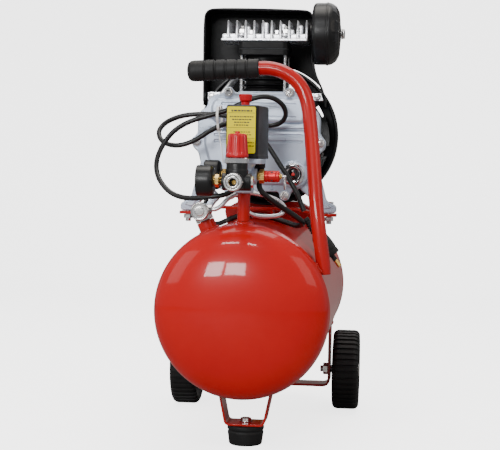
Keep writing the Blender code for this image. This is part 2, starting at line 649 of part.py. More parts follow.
def hood():
    """Sheet cowl over the head, open to the front, with the bar across its mouth, and the round fan shroud."""
    outer = rounded([(-96, 474), (90, 474), (91, 486), (69.3, 533), (69.3, 618), (-96, 620)], [0, 0, 8, 12, 14, 14], 4)
    inner = rounded(
        [(-93, 470), (87, 470), (87.8, 486), (66.3, 532), (66.3, 615), (-93, 617)], [0, 0, 8, 12, 12, 12], 4
    )
    cowl = slab("hood", outer, 196, 256, "black_paint")
    cut(
        cowl,
        slab("inner", inner, 190, 253, "black_paint"),
        rod("opening", 109.6, 233.4, 270, "black_paint", (0, 0, 430), "Y", steps=48),
    )
    bar = slab("hood_bar", [(-92.5, 483), (86.5, 483), (82.4, 495), (-92.5, 495)], 216.2, 220.6, "aluminium", bevel=0.6)
    shroud = [(104.0, 234.0), (108, 234.0), (108, 266), (90, 268.6), (90, 265.6), (104.0, 263)]
    turned("fan_shroud", shroud, "black_plastic", at=(0, 0, 430), axis="Y", steps=56, ring=True)
    return bar


def motor():
    """Finned motor drum, the shaft with its rotor and crank, the fan, and the capacitor box."""
    drum = []
    steps = 40
    for k in range(steps):
        radius = MOTOR_R if k % 2 else MOTOR_R - 3.5
        angle = 2 * math.pi * (k + 0.5) / steps
        drum.append((radius * math.sin(angle), SHAFT_Z + radius * math.cos(angle)))
    housing = slab("motor_housing", drum, 269.2, 384, "black_paint")
    join(
        housing,
        turned("bell", [(80, 380), (80, 386), (72, 396), (20, 399), (0, 399)], "black_paint", at=(0, 0, SHAFT_Z),
               axis="Y", steps=40),
        slab("foot", [(-44, 352), (44, 352), (46, 327.4), (-46, 327.4)], 287, 318, "black_paint", bevel=1.0),
        slab("mount", box_outline(-88, 405, -70, 450, 2), 295, 360, "black_paint", "Y"),
    )
    inside = [(0, 260), (76, 260), (76, 384), (68, 391), (11, 393.5), (0, 393.5)]
    cut(housing, turned("inside", inside, "black_paint", at=(0, 0, SHAFT_Z), axis="Y", steps=32))
    for k in range(6):
        angle = 2 * math.pi * k / 6
        place = (52 * math.cos(angle), 0, SHAFT_Z + 52 * math.sin(angle))
        cut(housing, rod("vent", 9, 380, 410, "black_paint", place, "Y", steps=12))

    centre = (0, 0, SHAFT_Z)
    origin = (0, 240, SHAFT_Z)
    shaft = [
        (0, 190.4), (31, 190.4), (32, 191.4), (32, 201), (31, 202), (12, 202), (12, 236), (11, 237), (11, 262),
        (13, 263), (13, 284), (41, 284), (42, 285), (42, 351), (41, 352), (10, 352), (10, 392), (9, 393), (0, 393),
    ]
    crank = turned("motor_shaft", shaft, "steel", at=centre, axis="Y", steps=36, origin=origin)
    join(crank, rod("pin", 8, 187.0, 194, "steel", (0, 0, SHAFT_Z + CRANK_R), "Y", steps=20))
    cut(crank, slab("relief", box_outline(14, 428, 40, 470), 186, 202.5, "steel"),
        slab("relief", box_outline(-40, 428, -14, 470), 186, 202.5, "steel"))

    blades = []
    count = 9
    for k in range(count):
        for turn, reach in ((0.0, 30), (2.0, 95.5), (9.0, 96.5), (12.0, 30)):
            angle = math.radians(360 * k / count + turn)
            blades.append((reach * math.cos(angle), SHAFT_Z + 5 + reach * math.sin(angle) - 5))
    fan = slab("cooling_fan", blades, 240.5, 258, "black_plastic", origin=origin)
    cut(fan, rod("bore", 11.4, 230, 270, "black_plastic", centre, "Y", steps=24))

    box = rounded([(-114, 400), (-88.4, 400), (-88.4, 458), (-114, 458)], 5)
    case = slab("capacitor_box", box, 288, 368, "black_plastic", bevel=1.5)
    gland = [(9, 402), (9, 397), (6.4, 396), (4.4, 376.0)]
    join(case, turned("gland", gland, "black_plastic", at=(-98, 330, 0), steps=20))
    return shaft


def running_parts():
    """Piston and connecting rod at the top of the stroke, in a plane clear of the crank web and its pin."""
    origin = (0, CYL_Y, 532)
    piston = [
        (0, 546), (22.7, 546), (22.7, 542.5), (21.3, 542.3), (21.3, 540.7), (22.7, 540.5), (22.7, 519), (22.0, 518), (17, 518), (17, 538.5), (0, 540),
    ]
    crown = turned("piston", piston, "aluminium", at=(0, CYL_Y, 0), steps=36, origin=origin)
    join(crown, rod("gudgeon", 6, CYL_Y - 18, CYL_Y + 18, "steel", (0, 0, 527), "Y", steps=16))
    shape = rod("connecting_rod", 14.5, 170.5, 185.5, "aluminium", (0, 0, SHAFT_Z + CRANK_R), "Y", steps=28,
                bevel=1.0, origin=origin)
    neck = [(-8.5, 455), (8.5, 455), (6.2, 521), (-6.2, 521)]
    join(
        shape,
        slab("neck", neck, 174, 182, "aluminium", bevel=1.0),
        rod("eye", 9.6, 171, 185, "aluminium", (0, 0, 527), "Y", steps=24, bevel=0.8),
        rod("dipper", 2.2, 416, 436, "aluminium", (0, CYL_Y, 0), steps=10, bevel=0.4),
    )
    cut(shape, rod("hole", 6.35, 160, 200, "aluminium", (0, 0, 527), "Y", steps=20))
    return shape


def switch_column():
    """Riser pipe, pressure switch with cover and button, and the two cord glands under it."""
    top = TANK_Z + TANK_R + 3.3
    riser = [(4.8, top), (8.3, top), (8.3, 347), (4.8, 347)]
    turned("switch_post", riser, "red_paint", at=(POST_X, POST_Y, 0), steps=24, ring=True)

    base = slab("switch_base", box_outline(-24.5, -95, 24.5, -29, 6), 386, 392.6, "cast", "Z", bevel=0.8)
    hub_at = (POST_X, POST_Y, 0)
    join(
        base,
        rod("hub", 13, 347.3, 388, "cast", hub_at, steps=28, bevel=0.8),
        rod("arm", 10, POST_Y - 26, POST_Y, "cast", (POST_X, 0, PORT_Z), "Y", steps=20, bevel=0.6),
        rod("arm", 10, -17, 17, "cast", (POST_X, POST_Y, PORT_Z), "X", steps=20, bevel=0.6),
        rod("port", 4.5, 378, 388, "cast", (-8, -31, 0), steps=14),
    )
    for x in (-14, 17):
        gland = [(7.5, 388), (7.5, 381), (5.6, 380), (3.9, 364)]
        join(base, turned("gland", gland, "black_plastic", at=(x, -45, 0), steps=18))
    cut(
        base,
        rod("bore", 4.5, 340, 376, "cast", hub_at, steps=14),
        rod("bore", 4.0, POST_Y - 30, POST_Y, "cast", (POST_X, 0, PORT_Z), "Y", steps=14),
        rod("bore", 4.0, -30, 30, "cast", (POST_X, POST_Y, PORT_Z), "X", steps=14),
    )

    plan = rounded([(-21.5, -97), (19.5, -97), (28, -32), (-30, -32)], 5)
    case = slab("switch_cover", plan, 392.9, 462.3, "black_plastic", "Z", bevel=2.0)
    cut(
        case,
        slab("inside", rounded([(-19.5, -94.8), (17.5, -94.8), (25.5, -34.2), (-27.5, -34.2)], 3), 385, 460.1, "black_plastic", "Z"),
        rod("hole", 6.2, 452, 475, "black_plastic", (POST_X, POST_Y, 0), steps=20),
    )
    button = [(0, 477.5), (7.8, 477.5), (8.9, 476.5), (8.0, 468.6), (5.7, 467.6), (5.7, 446), (0, 446)]
    turned("switch_button", button, "red_plastic", at=(POST_X, POST_Y, 0), steps=24, origin=(POST_X, POST_Y, 465))


def regulator():
    """Regulator body on a nipple, its fluted knob, the quick coupler with its sliding sleeve."""
    at = (REG_X, REG_Y, 0)
    body = rod("regulator_body", 14.5, 353, 386.8, "black_plastic", at, steps=28, bevel=1.5)
    join(
        body,
        rod("collar", 15.6, 385, 393.6, "zinc", at, steps=6, bevel=0.8, turn=30),
        rod("port", 11, -18.5, 18.5, "black_plastic", (REG_X, REG_Y, OUT_Z), "X", steps=20, bevel=0.8),
        rod("front", 11.5, -17.5, 0, "black_plastic", (REG_X, REG_Y, OUT_Z), "Y", steps=20, bevel=0.8),
        rod("nipple", 7.5, 0, 42.5, "zinc", (REG_X, REG_Y, PORT_Z), "Y", steps=20, bevel=0.5),
        rod("spindle", 5, 390, 398, "zinc", at, steps=16),
    )
    cut(body, rod("bore", 3.6, -40, 10, "zinc", (REG_X, REG_Y, OUT_Z), "Y", steps=12),
        rod("bore", 3.2, -40, 0, "zinc", (REG_X, REG_Y, OUT_Z), "X", steps=12))
    points, faces, around = [], [], 40
    for z, scale in ((394, 0.96), (395, 1.0), (398, 1.0), (422.5, 0.84), (424, 0.78)):
        for k in range(around):
            angle = 2 * math.pi * k / around
            reach = (14.3 if k % 4 < 2 else 13.2) * scale
            points.append((REG_X + reach * math.cos(angle), REG_Y + reach * math.sin(angle), z))
    for row in range(4):
        for k in range(around):
            after = (k + 1) % around
            faces.append([row * around + k, row * around + after, (row + 1) * around + after, (row + 1) * around + k])
    faces += [list(range(around))[::-1], list(range(4 * around, 5 * around))]
    knob = solid("regulator_knob", points, faces, "red_plastic", origin=(REG_X, REG_Y, 400))
    cut(knob, rod("socket", 5.6, 390, 404, "red_plastic", at, steps=16))
    join(knob, rod("pip", 3.2, 420, 427.5, "red_plastic", at, steps=14, bevel=0.6))

    core = [(4.2, -148.8), (9.6, -148.8), (9.6, -155.5), (8.2, -156), (8.2, -176.5), (7.4, -177.4), (4.9, -177.4),
            (4.9, -160), (4.2, -158)]
    turned("coupler_body", core, "zinc", at=(REG_X, 0, OUT_Z), axis="Y", steps=32, ring=True)
    sleeve = [(8.6, -162.6), (10.6, -162.6), (11.3, -163.4), (11.3, -167), (10.7, -167.6), (10.7, -169.4),
              (11.3, -170), (11.3, -175.6), (10.5, -176.4), (8.6, -176.4)]
    turned("coupler_sleeve", sleeve, "zinc", at=(REG_X, 0, OUT_Z), axis="Y", steps=32, ring=True,
           origin=(REG_X, -170, OUT_Z))


def gauge(name, stem_end, face_at, needle_turn):
    """A pressure gauge that faces left: a drum with a dished dial, a brass stem, and a separate needle."""
    x, y, z = face_at
    back = [(0, 22.5), (15.5, 22.5), (18.6, 20.8), (19.6, 17.5), (19.6, 0.8), (18.8, 0), (17.6, 0), (17.6, 3.4), (2.2, 3.4),
            (2.2, 5.0), (0, 5.0)]
    body = turned(name, back, "black_plastic", at=face_at, axis="X", steps=40)
    length = stem_end - x
    join(
        body,
        rod("stem", 5.2, 21, length, "brass", face_at, "X", steps=16, bevel=0.4),
        rod("hex", 7.8, 23.4, 29, "brass", face_at, "X", steps=6, bevel=0.6),
    )
    points = [(-5, 0.9), (15.6, 0.25), (15.6, -0.25), (-5, -0.9)]
    turn = math.radians(needle_turn)
    outline = []
    for along_it, across in points:
        outline.append((
            y + along_it * math.cos(turn) - across * math.sin(turn),
            z + along_it * math.sin(turn) + across * math.cos(turn),
        ))
    needle = slab(name + "_needle", outline, x + 2.0, x + 2.7, "black_plastic", "X", origin=face_at)
    join(needle, rod("hub", 1.9, 1.6, 4.6, "black_plastic", face_at, "X", steps=14))
    return body


def fittings():
    """Safety valve with its pull ring, check valve, drain cock, discharge pipe and unloader pipe."""
    axis = (0, POST_Y, PORT_Z)
    valve = [
        (0, 16.4), (6.0, 16.4), (6.0, 19), (9.0, 19.2), (9.0, 25.8), (7.7, 26.0), (7.7, 45.5), (6.6, 46.6), (3.2, 46.6),
        (3.2, 49.2), (0, 49.2),
    ]
    turned("safety_valve", valve, "brass", at=axis, axis="X", steps=24)
    ring_at = (52.5, POST_Y, PORT_Z)
    points, faces = [], []
    around, section = 20, 6
    for k in range(around):
        for j in range(section):
            a, b = 2 * math.pi * k / around, 2 * math.pi * j / section
            reach = 8.0 + 1.0 * math.cos(b)
            points.append((ring_at[0] + 1.0 * math.sin(b) + 0.6, POST_Y + reach * math.cos(a),
                           PORT_Z - 8.6 + reach * math.sin(a)))
            ahead, after = (k + 1) % around * section, (j + 1) % section
            faces.append([k * section + j, ahead + j, ahead + after, k * section + after])
    ring = solid("safety_ring", points, faces, "steel", origin=ring_at)
    join(ring, rod("link", 2.0, 49.6, 54.6, "steel", axis, "X", steps=12, bevel=0.4))

    radial = Vector((-51, 0, 114)).normalized()
    lean = along(radial)
    foot = CHECK_FOOT
    body = rod("check_valve", 6.6, 121, 141, "zinc", foot, lean, steps=20)
    centre_x, centre_z = -59.5, 322.0
    join(
        body,
        rod("hex", 12.2, 135.4, 142, "zinc", foot, lean, steps=6, bevel=0.8),
        rod("barrel", 10, -60, -24, "zinc", (centre_x, 0, centre_z), "Y", steps=24, bevel=0.8),
        rod("cap", 12.2, -67, -59, "zinc", (centre_x, 0, centre_z), "Y", steps=24, bevel=1.0),
        rod("stem", 7.5, 140, 150, "zinc", foot, lean, steps=20),
        rod("nut", 6.2, 5, 13.5, "zinc", (centre_x, -42, 324), "X", steps=6, bevel=0.5),
    )
    cut(body, rod("bore", 4.0, 100, 146, "zinc", foot, lean, steps=12),
        rod("bore", 4.6, -50, -15, "zinc", (centre_x, 0, centre_z), "Y", steps=14))
    pipe("discharge_tube", DISCHARGE_ROUTE, 5.0, "aluminium", 30, steps=8)
    pipe("unloader_tube", UNLOADER_ROUTE, 3.0, "aluminium", 30, steps=8)

    drain = [(0, 61), (5.6, 61), (5.6, 58.6), (7.4, 58.4), (7.4, 54.6), (5.0, 54.2), (5.0, 45.0), (4.4, 44.4), (0, 44.4)]
    cock = turned("drain_cock", drain, "brass", at=(0, 150, 0), steps=20, origin=(0, 150, 50))
    join(cock, slab("wing", rounded([(-11, 46), (11, 46), (12, 53), (-12, 53)], 2), 148.6, 151.4, "brass", bevel=0.4))


def power_plug():
    """Flat moulded plug that leans along the tank's shoulder, with a tapered relief and two round pins."""
    axis = Vector((0.6, 0, -0.8))
    centre = Vector((102.0, 36, 275.0))
    thin = Vector((0.8, 0, 0.6))
    wide = Vector((0, 1, 0))
    points, faces = [], []
    rows = [
        (-46.0, 3.9, 3.9), (-22, 6.2, 6.4), (-18, 8.2, 9.6), (-14, 10.6, 14.5), (-6, 11.8, 17.6), (4, 12, 18.4),
        (16.5, 12, 18.4), (18, 10.4, 16.8),
    ]
    steps = 20
    for at, half_thin, half_wide in rows:
        for k in range(steps):
            angle = 2 * math.pi * k / steps
            c, s = math.cos(angle), math.sin(angle)
            bulge = (abs(c) ** 3 + abs(s) ** 3) ** (-1 / 3)
            points.append(centre + axis * at + thin * (half_thin * c * bulge) + wide * (half_wide * s * bulge))
    for row in range(len(rows) - 1):
        for k in range(steps):
            a, b = row * steps + k, row * steps + (k + 1) % steps
            faces.append([a, b, b + steps, a + steps])
    faces.append(list(range(steps)))
    faces.append(list(range((len(rows) - 1) * steps, len(rows) * steps)))
    body = solid("power_plug", points, faces, "tyre")
    for shift in (-9.5, 9.5):
        join(body, rod("pin", 2.4, 16, 36.5, "brass", centre + wide * shift, along(axis), steps=14, bevel=0.8))
    return body


def cords():
    cord("power_cord", POWER_ROUTE, CORD_R, "cord", 66)
    cord("motor_lead", LEAD_ROUTE, LEAD_R, "cord", 36)


def build():
    clear_scene()
    air_tank()
    running_gear()
    handle()
    saddles()
    crankcase()
    cover()
    pump_top()
    air_filter()
    hood()
    motor()
    running_parts()
    switch_column()
    regulator()
    gauge("outlet_gauge", REG_X - 18.8, (-54, REG_Y, 364), 225)
    gauge("tank_gauge", POST_X - 17.3, (-54, POST_Y, PORT_Z + 1), 240)
    fittings()
    power_plug()
    cords()


build()
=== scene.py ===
"""Looks for a wheeled direct-drive air compressor with a 24 litre tank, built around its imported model.

Shapes are written in millimetres in the model's own frame: X right, Y back along the tank, Z up, origin
under the front foot. make() turns them into metres. Each round piece is a profile turned on an axis, each
tube a circle carried along a smooth route, and each plate an outline pushed through its thickness.
"""

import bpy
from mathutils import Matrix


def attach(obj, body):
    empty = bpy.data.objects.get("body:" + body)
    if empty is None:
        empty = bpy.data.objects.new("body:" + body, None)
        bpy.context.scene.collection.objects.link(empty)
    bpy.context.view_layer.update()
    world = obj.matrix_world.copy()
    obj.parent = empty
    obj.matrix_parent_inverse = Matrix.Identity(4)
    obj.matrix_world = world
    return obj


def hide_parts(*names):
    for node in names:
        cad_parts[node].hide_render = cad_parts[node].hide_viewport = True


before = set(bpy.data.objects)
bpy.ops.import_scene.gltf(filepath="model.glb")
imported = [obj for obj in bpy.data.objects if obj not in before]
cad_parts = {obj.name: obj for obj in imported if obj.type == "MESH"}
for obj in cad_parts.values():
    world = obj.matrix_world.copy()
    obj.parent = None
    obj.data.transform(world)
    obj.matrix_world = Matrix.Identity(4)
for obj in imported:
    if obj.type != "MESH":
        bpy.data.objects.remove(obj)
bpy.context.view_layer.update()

import math

import bmesh
import bpy
import numpy as np
from mathutils import Matrix, Vector

MM = 0.001
TANK_R, TANK_Z = 116.0, 191.0
TANK_FRONT, TANK_REAR, DOME = -77.0, 374.0, 45.0
SHAFT_Z, CYL_Y = 425.0, 178.0
WHEEL_X, AXLE_Y, AXLE_Z = 127.0, 287.0, 62.4
POST_X, POST_Y, PORT_Z = -1.0, -62.0, 370.0
REG_X, REG_Y, OUT_Z = -2.5, -131.0, 363.0
GLASS = (52, 0, 372)
BARREL_HALF, HEAD_LOW, FIN_TOP = 37, 566.8, 596.6
HEAD_LEFT, HEAD_RIGHT, HEAD_FRONT, HEAD_REAR, FINS = -63, 65.5, 140.4, 216, 10
FILTER_AT = (0, 180, 581)
CHECK_FOOT = (0, -40, 185.0)
CHECK_LEAN = Vector((-51, 0, 114)).normalized()
DRAIN_Y = 150
AXES = {
    "X": Matrix.Rotation(math.pi / 2, 3, "Y"),
    "Y": Matrix.Rotation(-math.pi / 2, 3, "X"),
    "Z": Matrix.Identity(3),
}


# ---------------------------------------------------------------- node materials


def group(name, inputs, outputs):
    """An empty shader node group with float inputs (name, default) and outputs (name, socket type)."""
    tree = bpy.data.node_groups.new(name, "ShaderNodeTree")
    for label, value in inputs:
        tree.interface.new_socket(label, in_out="INPUT", socket_type="NodeSocketFloat").default_value = value
    for label, kind in outputs:
        tree.interface.new_socket(label, in_out="OUTPUT", socket_type=kind)
    return tree, tree.nodes.new("NodeGroupInput"), tree.nodes.new("NodeGroupOutput")


def add(tree, kind, links=(), **settings):
    """A node with its settings and its inputs, each a value or an output socket of another node."""
    node = tree.nodes.new(kind)
    for key, value in settings.items():
        setattr(node, key, value)
    for key, value in links:
        if isinstance(value, bpy.types.NodeSocket):
            tree.links.new(value, node.inputs[key])
        else:
            node.inputs[key].default_value = value
    return node


def noise(tree, scale, detail=3.0, rough=0.55, stretch=None):
    """Noise over object coordinates. The scale is in features per metre, and stretch squeezes each axis."""
    where = add(tree, "ShaderNodeTexCoord").outputs["Object"]
    if stretch:
        where = add(tree, "ShaderNodeMapping", [("Vector", where), ("Scale", stretch)]).outputs[0]
    links = [("Vector", where), ("Scale", scale), ("Detail", detail), ("Roughness", rough)]
    return add(tree, "ShaderNodeTexNoise", links).outputs["Fac"]


def remap(tree, value, low, high, to_low=0.0, to_high=1.0):
    links = [("Value", value), ("From Min", low), ("From Max", high), ("To Min", to_low),
             ("To Max", to_high)]
    return add(tree, "ShaderNodeMapRange", links).outputs["Result"]


def build_groups():
    """The effects that several finishes share: orange peel, grain, blotches, edge wear with a painted edge
    highlight, and settled dust.
    """
    tree, source, sink = group("skin", [("Scale", 900.0), ("Depth", 0.05), ("Strength", 0.4)],
                               [("Normal", "NodeSocketVector")])
    fine = noise(tree, 1.0, 2.5)
    tree.links.new(source.outputs["Scale"], tree.nodes[-1].inputs["Scale"])
    height = add(tree, "ShaderNodeMath", [(0, source.outputs["Depth"]), (1, 0.001)], operation="MULTIPLY")
    bump = add(tree, "ShaderNodeBump", [("Height", fine), ("Strength", source.outputs["Strength"]),
                                        ("Distance", height.outputs[0])])
    tree.links.new(bump.outputs["Normal"], sink.inputs["Normal"])

    tree, source, sink = group("blotch", [("Scale", 20.0)], [("Value", "NodeSocketFloat")])
    broad = noise(tree, 1.0, 5.0, 0.6)
    tree.links.new(source.outputs["Scale"], tree.nodes[-1].inputs["Scale"])
    tree.links.new(remap(tree, broad, 0.32, 0.68), sink.inputs["Value"])

    # Lighter convex edges: rubbed wear broken up by chips, and also a painted edge highlight.
    tree, source, sink = group("edge", [("Start", 0.52), ("End", 0.6)], [("Value", "NodeSocketFloat")])
    sharp = add(tree, "ShaderNodeNewGeometry").outputs["Pointiness"]
    edge_wear_and_highlight = remap(tree, sharp, 0.5, 0.6)
    for label, key in (("Start", "From Min"), ("End", "From Max")):
        tree.links.new(source.outputs[label], tree.nodes[-1].inputs[key])
    chips = remap(tree, noise(tree, 420.0, 4.0), 0.42, 0.6)
    mask = add(tree, "ShaderNodeMath", [(0, edge_wear_and_highlight), (1, chips)], operation="MULTIPLY")
    tree.links.new(mask.outputs[0], sink.inputs["Value"])

    tree, source, sink = group("dust", [("Amount", 0.3)], [("Value", "NodeSocketFloat")])
    normal = add(tree, "ShaderNodeNewGeometry").outputs["Normal"]
    up = add(tree, "ShaderNodeSeparateXYZ", [("Vector", normal)]).outputs["Z"]
    lying = remap(tree, up, 0.35, 0.95)
    patchy = remap(tree, noise(tree, 55.0, 6.0, 0.65), 0.35, 0.75)
    both = add(tree, "ShaderNodeMath", [(0, lying), (1, patchy)], operation="MULTIPLY").outputs[0]
    mask = add(tree, "ShaderNodeMath", [(0, both), (1, source.outputs["Amount"])], operation="MULTIPLY")
    tree.links.new(mask.outputs[0], sink.inputs["Value"])

    tree, source, sink = group("scratches", [("Scale", 60.0)], [("Value", "NodeSocketFloat")])
    lines = noise(tree, 60.0, 2.0, 0.5, stretch=(1.0, 14.0, 14.0))
    tree.links.new(source.outputs["Scale"], tree.nodes[-1].inputs["Scale"])
    tree.links.new(remap(tree, lines, 0.56, 0.7), sink.inputs["Value"])


def use(tree, name, **inputs):
    """A group node with its float inputs set. Returns its only output."""
    node = add(tree, "ShaderNodeGroup", node_tree=bpy.data.node_groups[name])
    for key, value in inputs.items():
        node.inputs[key].default_value = value
    return node.outputs[0]


def blend_colour(tree, mask, first, second):
    """Two colours, or colour sockets, mixed by a mask."""
    node = add(tree, "ShaderNodeMix", data_type="RGBA")
    for socket, value in ((node.inputs[0], mask), (node.inputs[6], first), (node.inputs[7], second)):
        if isinstance(value, bpy.types.NodeSocket):
            tree.links.new(value, socket)
        else:
            socket.default_value = (*value, 1) if isinstance(value, tuple) and len(value) == 3 else value
    return node.outputs[2]


FINISHES = {}


def finish(name, colour, second, rough, rough_to, metallic=0.0, coat=0.0, peel=(900.0, 0.05, 0.4),
           blotch=24.0, dust=0.0, edge=None, specular=0.5, coat_rough=0.04):
    """A Principled finish: two tones in blotches, uneven roughness, a fine skin, dust above and edge wear with a
    painted edge highlight.
    """
    made = bpy.data.materials.new(name)
    made.use_nodes = True
    tree = made.node_tree
    shader = tree.nodes["Principled BSDF"]
    spots = use(tree, "blotch", Scale=blotch)
    tone = blend_colour(tree, spots, colour, second)
    # edge is a lighter colour on convex edges: wear, and also a painted edge highlight.
    if edge:
        tone = blend_colour(tree, use(tree, "edge", Start=0.53, End=0.62), tone, edge)
    if dust:
        tone = blend_colour(tree, use(tree, "dust", Amount=dust), tone, (0.42, 0.38, 0.33))
    tree.links.new(tone, shader.inputs["Base Color"])
    streak = use(tree, "scratches", Scale=70.0)
    uneven = add(tree, "ShaderNodeMath", [(0, spots), (1, streak)], operation="ADD").outputs[0]
    tree.links.new(remap(tree, uneven, 0.0, 1.6, rough, rough_to), shader.inputs["Roughness"])
    shader.inputs["Metallic"].default_value = metallic
    shader.inputs["Coat Weight"].default_value = coat
    shader.inputs["Coat Roughness"].default_value = coat_rough
    shader.inputs["Specular IOR Level"].default_value = specular
    scale, depth, strength = peel
    tree.links.new(use(tree, "skin", Scale=scale, Depth=depth, Strength=strength), shader.inputs["Normal"])
    FINISHES[name] = made
    return made


def build_finishes():
    # The edge colours lighten convex edges: rubbed wear, and also a painted edge highlight, the cast's near-white
    # edges most of all.
    finish("red_paint", (0.43, 0.003, 0.003), (0.47, 0.005, 0.004), 0.28, 0.31, coat=0.42,
           peel=(330.0, 0.05, 0.25), blotch=9.0, dust=0.02, coat_rough=0.05, specular=0.12)
    finish("red_frame", (0.37, 0.0035, 0.0035), (0.45, 0.007, 0.005), 0.26, 0.4, coat=0.4,
           peel=(420.0, 0.06, 0.35), blotch=14.0, dust=0.03, coat_rough=0.07, specular=0.16)
    finish("rubber", (0.0035, 0.0035, 0.004), (0.008, 0.008, 0.008), 0.5, 0.72, peel=(1500.0, 0.08, 0.5),
           dust=0.04, specular=0.3)
    finish("black_plastic", (0.003, 0.003, 0.0035), (0.006, 0.006, 0.0065), 0.3, 0.46,
           peel=(2600.0, 0.04, 0.5), dust=0.02, edge=(0.022, 0.022, 0.022), specular=0.32)
    finish("black_paint", (0.0025, 0.0025, 0.003), (0.004, 0.004, 0.0045), 0.36, 0.5,
           peel=(700.0, 0.08, 0.4), dust=0.01, edge=(0.03, 0.03, 0.03), specular=0.12)
    finish("cast", (0.42, 0.49, 0.60), (0.53, 0.59, 0.70), 0.26, 0.42, metallic=0.45,
           peel=(800.0, 0.16, 0.6), blotch=40.0, dust=0.03, edge=(0.86, 0.88, 0.92))
    finish("aluminium", (0.80, 0.82, 0.86), (0.9, 0.91, 0.93), 0.24, 0.4, metallic=0.9,
           peel=(1100.0, 0.12, 0.5), blotch=60.0)
    finish("zinc", (0.60, 0.60, 0.61), (0.72, 0.71, 0.68), 0.16, 0.32, metallic=1.0,
           peel=(1800.0, 0.02, 0.3), blotch=70.0)
    finish("chrome", (0.62, 0.63, 0.65), (0.7, 0.7, 0.72), 0.05, 0.12, metallic=1.0, peel=(600.0, 0.02, 0.1),
           blotch=70.0)
    finish("steel", (0.42, 0.42, 0.44), (0.55, 0.55, 0.56), 0.24, 0.42, metallic=1.0,
           peel=(1600.0, 0.03, 0.3))
    finish("brass", (0.62, 0.38, 0.10), (0.76, 0.52, 0.18), 0.18, 0.34, metallic=1.0,
           peel=(1700.0, 0.02, 0.3), blotch=80.0)
    finish("red_plastic", (0.42, 0.003, 0.008), (0.5, 0.006, 0.012), 0.26, 0.38, peel=(2000.0, 0.02, 0.3),
           coat=0.12, specular=0.3)
    finish("red_anodised", (0.55, 0.010, 0.016), (0.62, 0.018, 0.02), 0.22, 0.34, metallic=0.5,
           peel=(1700.0, 0.02, 0.3))
    finish("cord", (0.0035, 0.0035, 0.004), (0.006, 0.006, 0.006), 0.3, 0.42, peel=(900.0, 0.03, 0.3),
           specular=0.4)
    finish("nylon", (0.74, 0.74, 0.72), (0.82, 0.82, 0.8), 0.34, 0.46, peel=(1500.0, 0.02, 0.3))
    finish("label", (0.72, 0.60, 0.0), (0.78, 0.66, 0.0), 0.4, 0.5, peel=(800.0, 0.01, 0.2), specular=0.1)
    finish("print", (0.004, 0.004, 0.003), (0.008, 0.007, 0.004), 0.45, 0.55, peel=(800.0, 0.01, 0.2))
    finish("paper_white", (0.78, 0.78, 0.76), (0.84, 0.84, 0.82), 0.4, 0.5, peel=(900.0, 0.01, 0.2))
    finish("gasket", (0.015, 0.018, 0.02), (0.03, 0.034, 0.038), 0.6, 0.75, peel=(2000.0, 0.03, 0.5))
    finish("oil_glass", (0.006, 0.004, 0.004), (0.012, 0.007, 0.006), 0.05, 0.09, coat=0.8,
           peel=(60.0, 0.02, 0.05))
    finish("lip_black", (0.008, 0.008, 0.009), (0.014, 0.014, 0.015), 0.4, 0.55, peel=(900.0, 0.04, 0.4),
           specular=0.3)
    finish("red_dot", (0.6, 0.01, 0.01), (0.66, 0.015, 0.015), 0.3, 0.4, peel=(900.0, 0.01, 0.2))
    clear = finish("clear", (0.95, 0.97, 0.98), (0.97, 0.98, 0.99), 0.02, 0.05, peel=(40.0, 0.01, 0.03))
    shader = clear.node_tree.nodes["Principled BSDF"]
    shader.inputs["Transmission Weight"].default_value = 1.0
    shader.inputs["IOR"].default_value = 1.12


# ---------------------------------------------------------------- shape builders


def make(name, points, faces, finish_name, body="frame", node=(), smooth=38, slot=None):
    """A mesh piece from points in millimetres, its seams closed and its faces outward, riding on a body."""
    mesh = bpy.data.meshes.new(name)
    table = np.asarray([tuple(p) for p in points], dtype=np.float64) * MM
    mesh.from_pydata(table.tolist(), [], [list(map(int, face)) for face in faces])
    shape = bmesh.new()
    shape.from_mesh(mesh)
    bmesh.ops.remove_doubles(shape, verts=shape.verts, dist=MM * MM)
    bmesh.ops.recalc_face_normals(shape, faces=shape.faces)
    shape.to_mesh(mesh)
    shape.free()
    obj = bpy.data.objects.new(name, mesh)
    bpy.context.scene.collection.objects.link(obj)
    mesh.materials.append(FINISHES[finish_name])
    mesh.shade_smooth()
    mesh.set_sharp_from_angle(angle=math.radians(smooth))
    if body:
        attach(obj, body)
    if node:
        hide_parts(*([node] if isinstance(node, str) else node))
    return obj


def grid_faces(rows, columns, wrap_rows=False, wrap_columns=True):
    """Quads of a grid of points, optionally closed on itself either way."""
    r = np.arange(rows if wrap_rows else rows - 1)
    c = np.arange(columns if wrap_columns else columns - 1)
    rr, cc = np.meshgrid(r, c, indexing="ij")
    after_r, after_c = (rr + 1) % rows, (cc + 1) % columns
    quads = np.stack([rr * columns + cc, rr * columns + after_c, after_r * columns + after_c,
                      after_r * columns + cc], axis=-1)
    return quads.reshape(-1, 4).tolist()


def soften(line, radius, steps=4, closed=False):
    """The line with each inner corner replaced by an arc of about this radius, limited by its neighbours."""
    line = [Vector(p) for p in line]
    count = len(line)
    result = []
    for k, corner in enumerate(line):
        if not closed and k in (0, count - 1):
            result.append(tuple(corner))
            continue
        before, after = line[k - 1], line[(k + 1) % count]
        reach = radius[k] if isinstance(radius, (list, tuple)) else radius
        to_before, to_after = before - corner, after - corner
        reach = min(reach, to_before.length * 0.48, to_after.length * 0.48)
        if reach < 1e-3 or to_before.length < 1e-6 or to_after.length < 1e-6:
            result.append(tuple(corner))
            continue
        start = corner + to_before.normalized() * reach
        end = corner + to_after.normalized() * reach
        for step in range(steps + 1):
            t = step / steps
            result.append(tuple(start.lerp(corner, t).lerp(corner.lerp(end, t), t)))
    return result


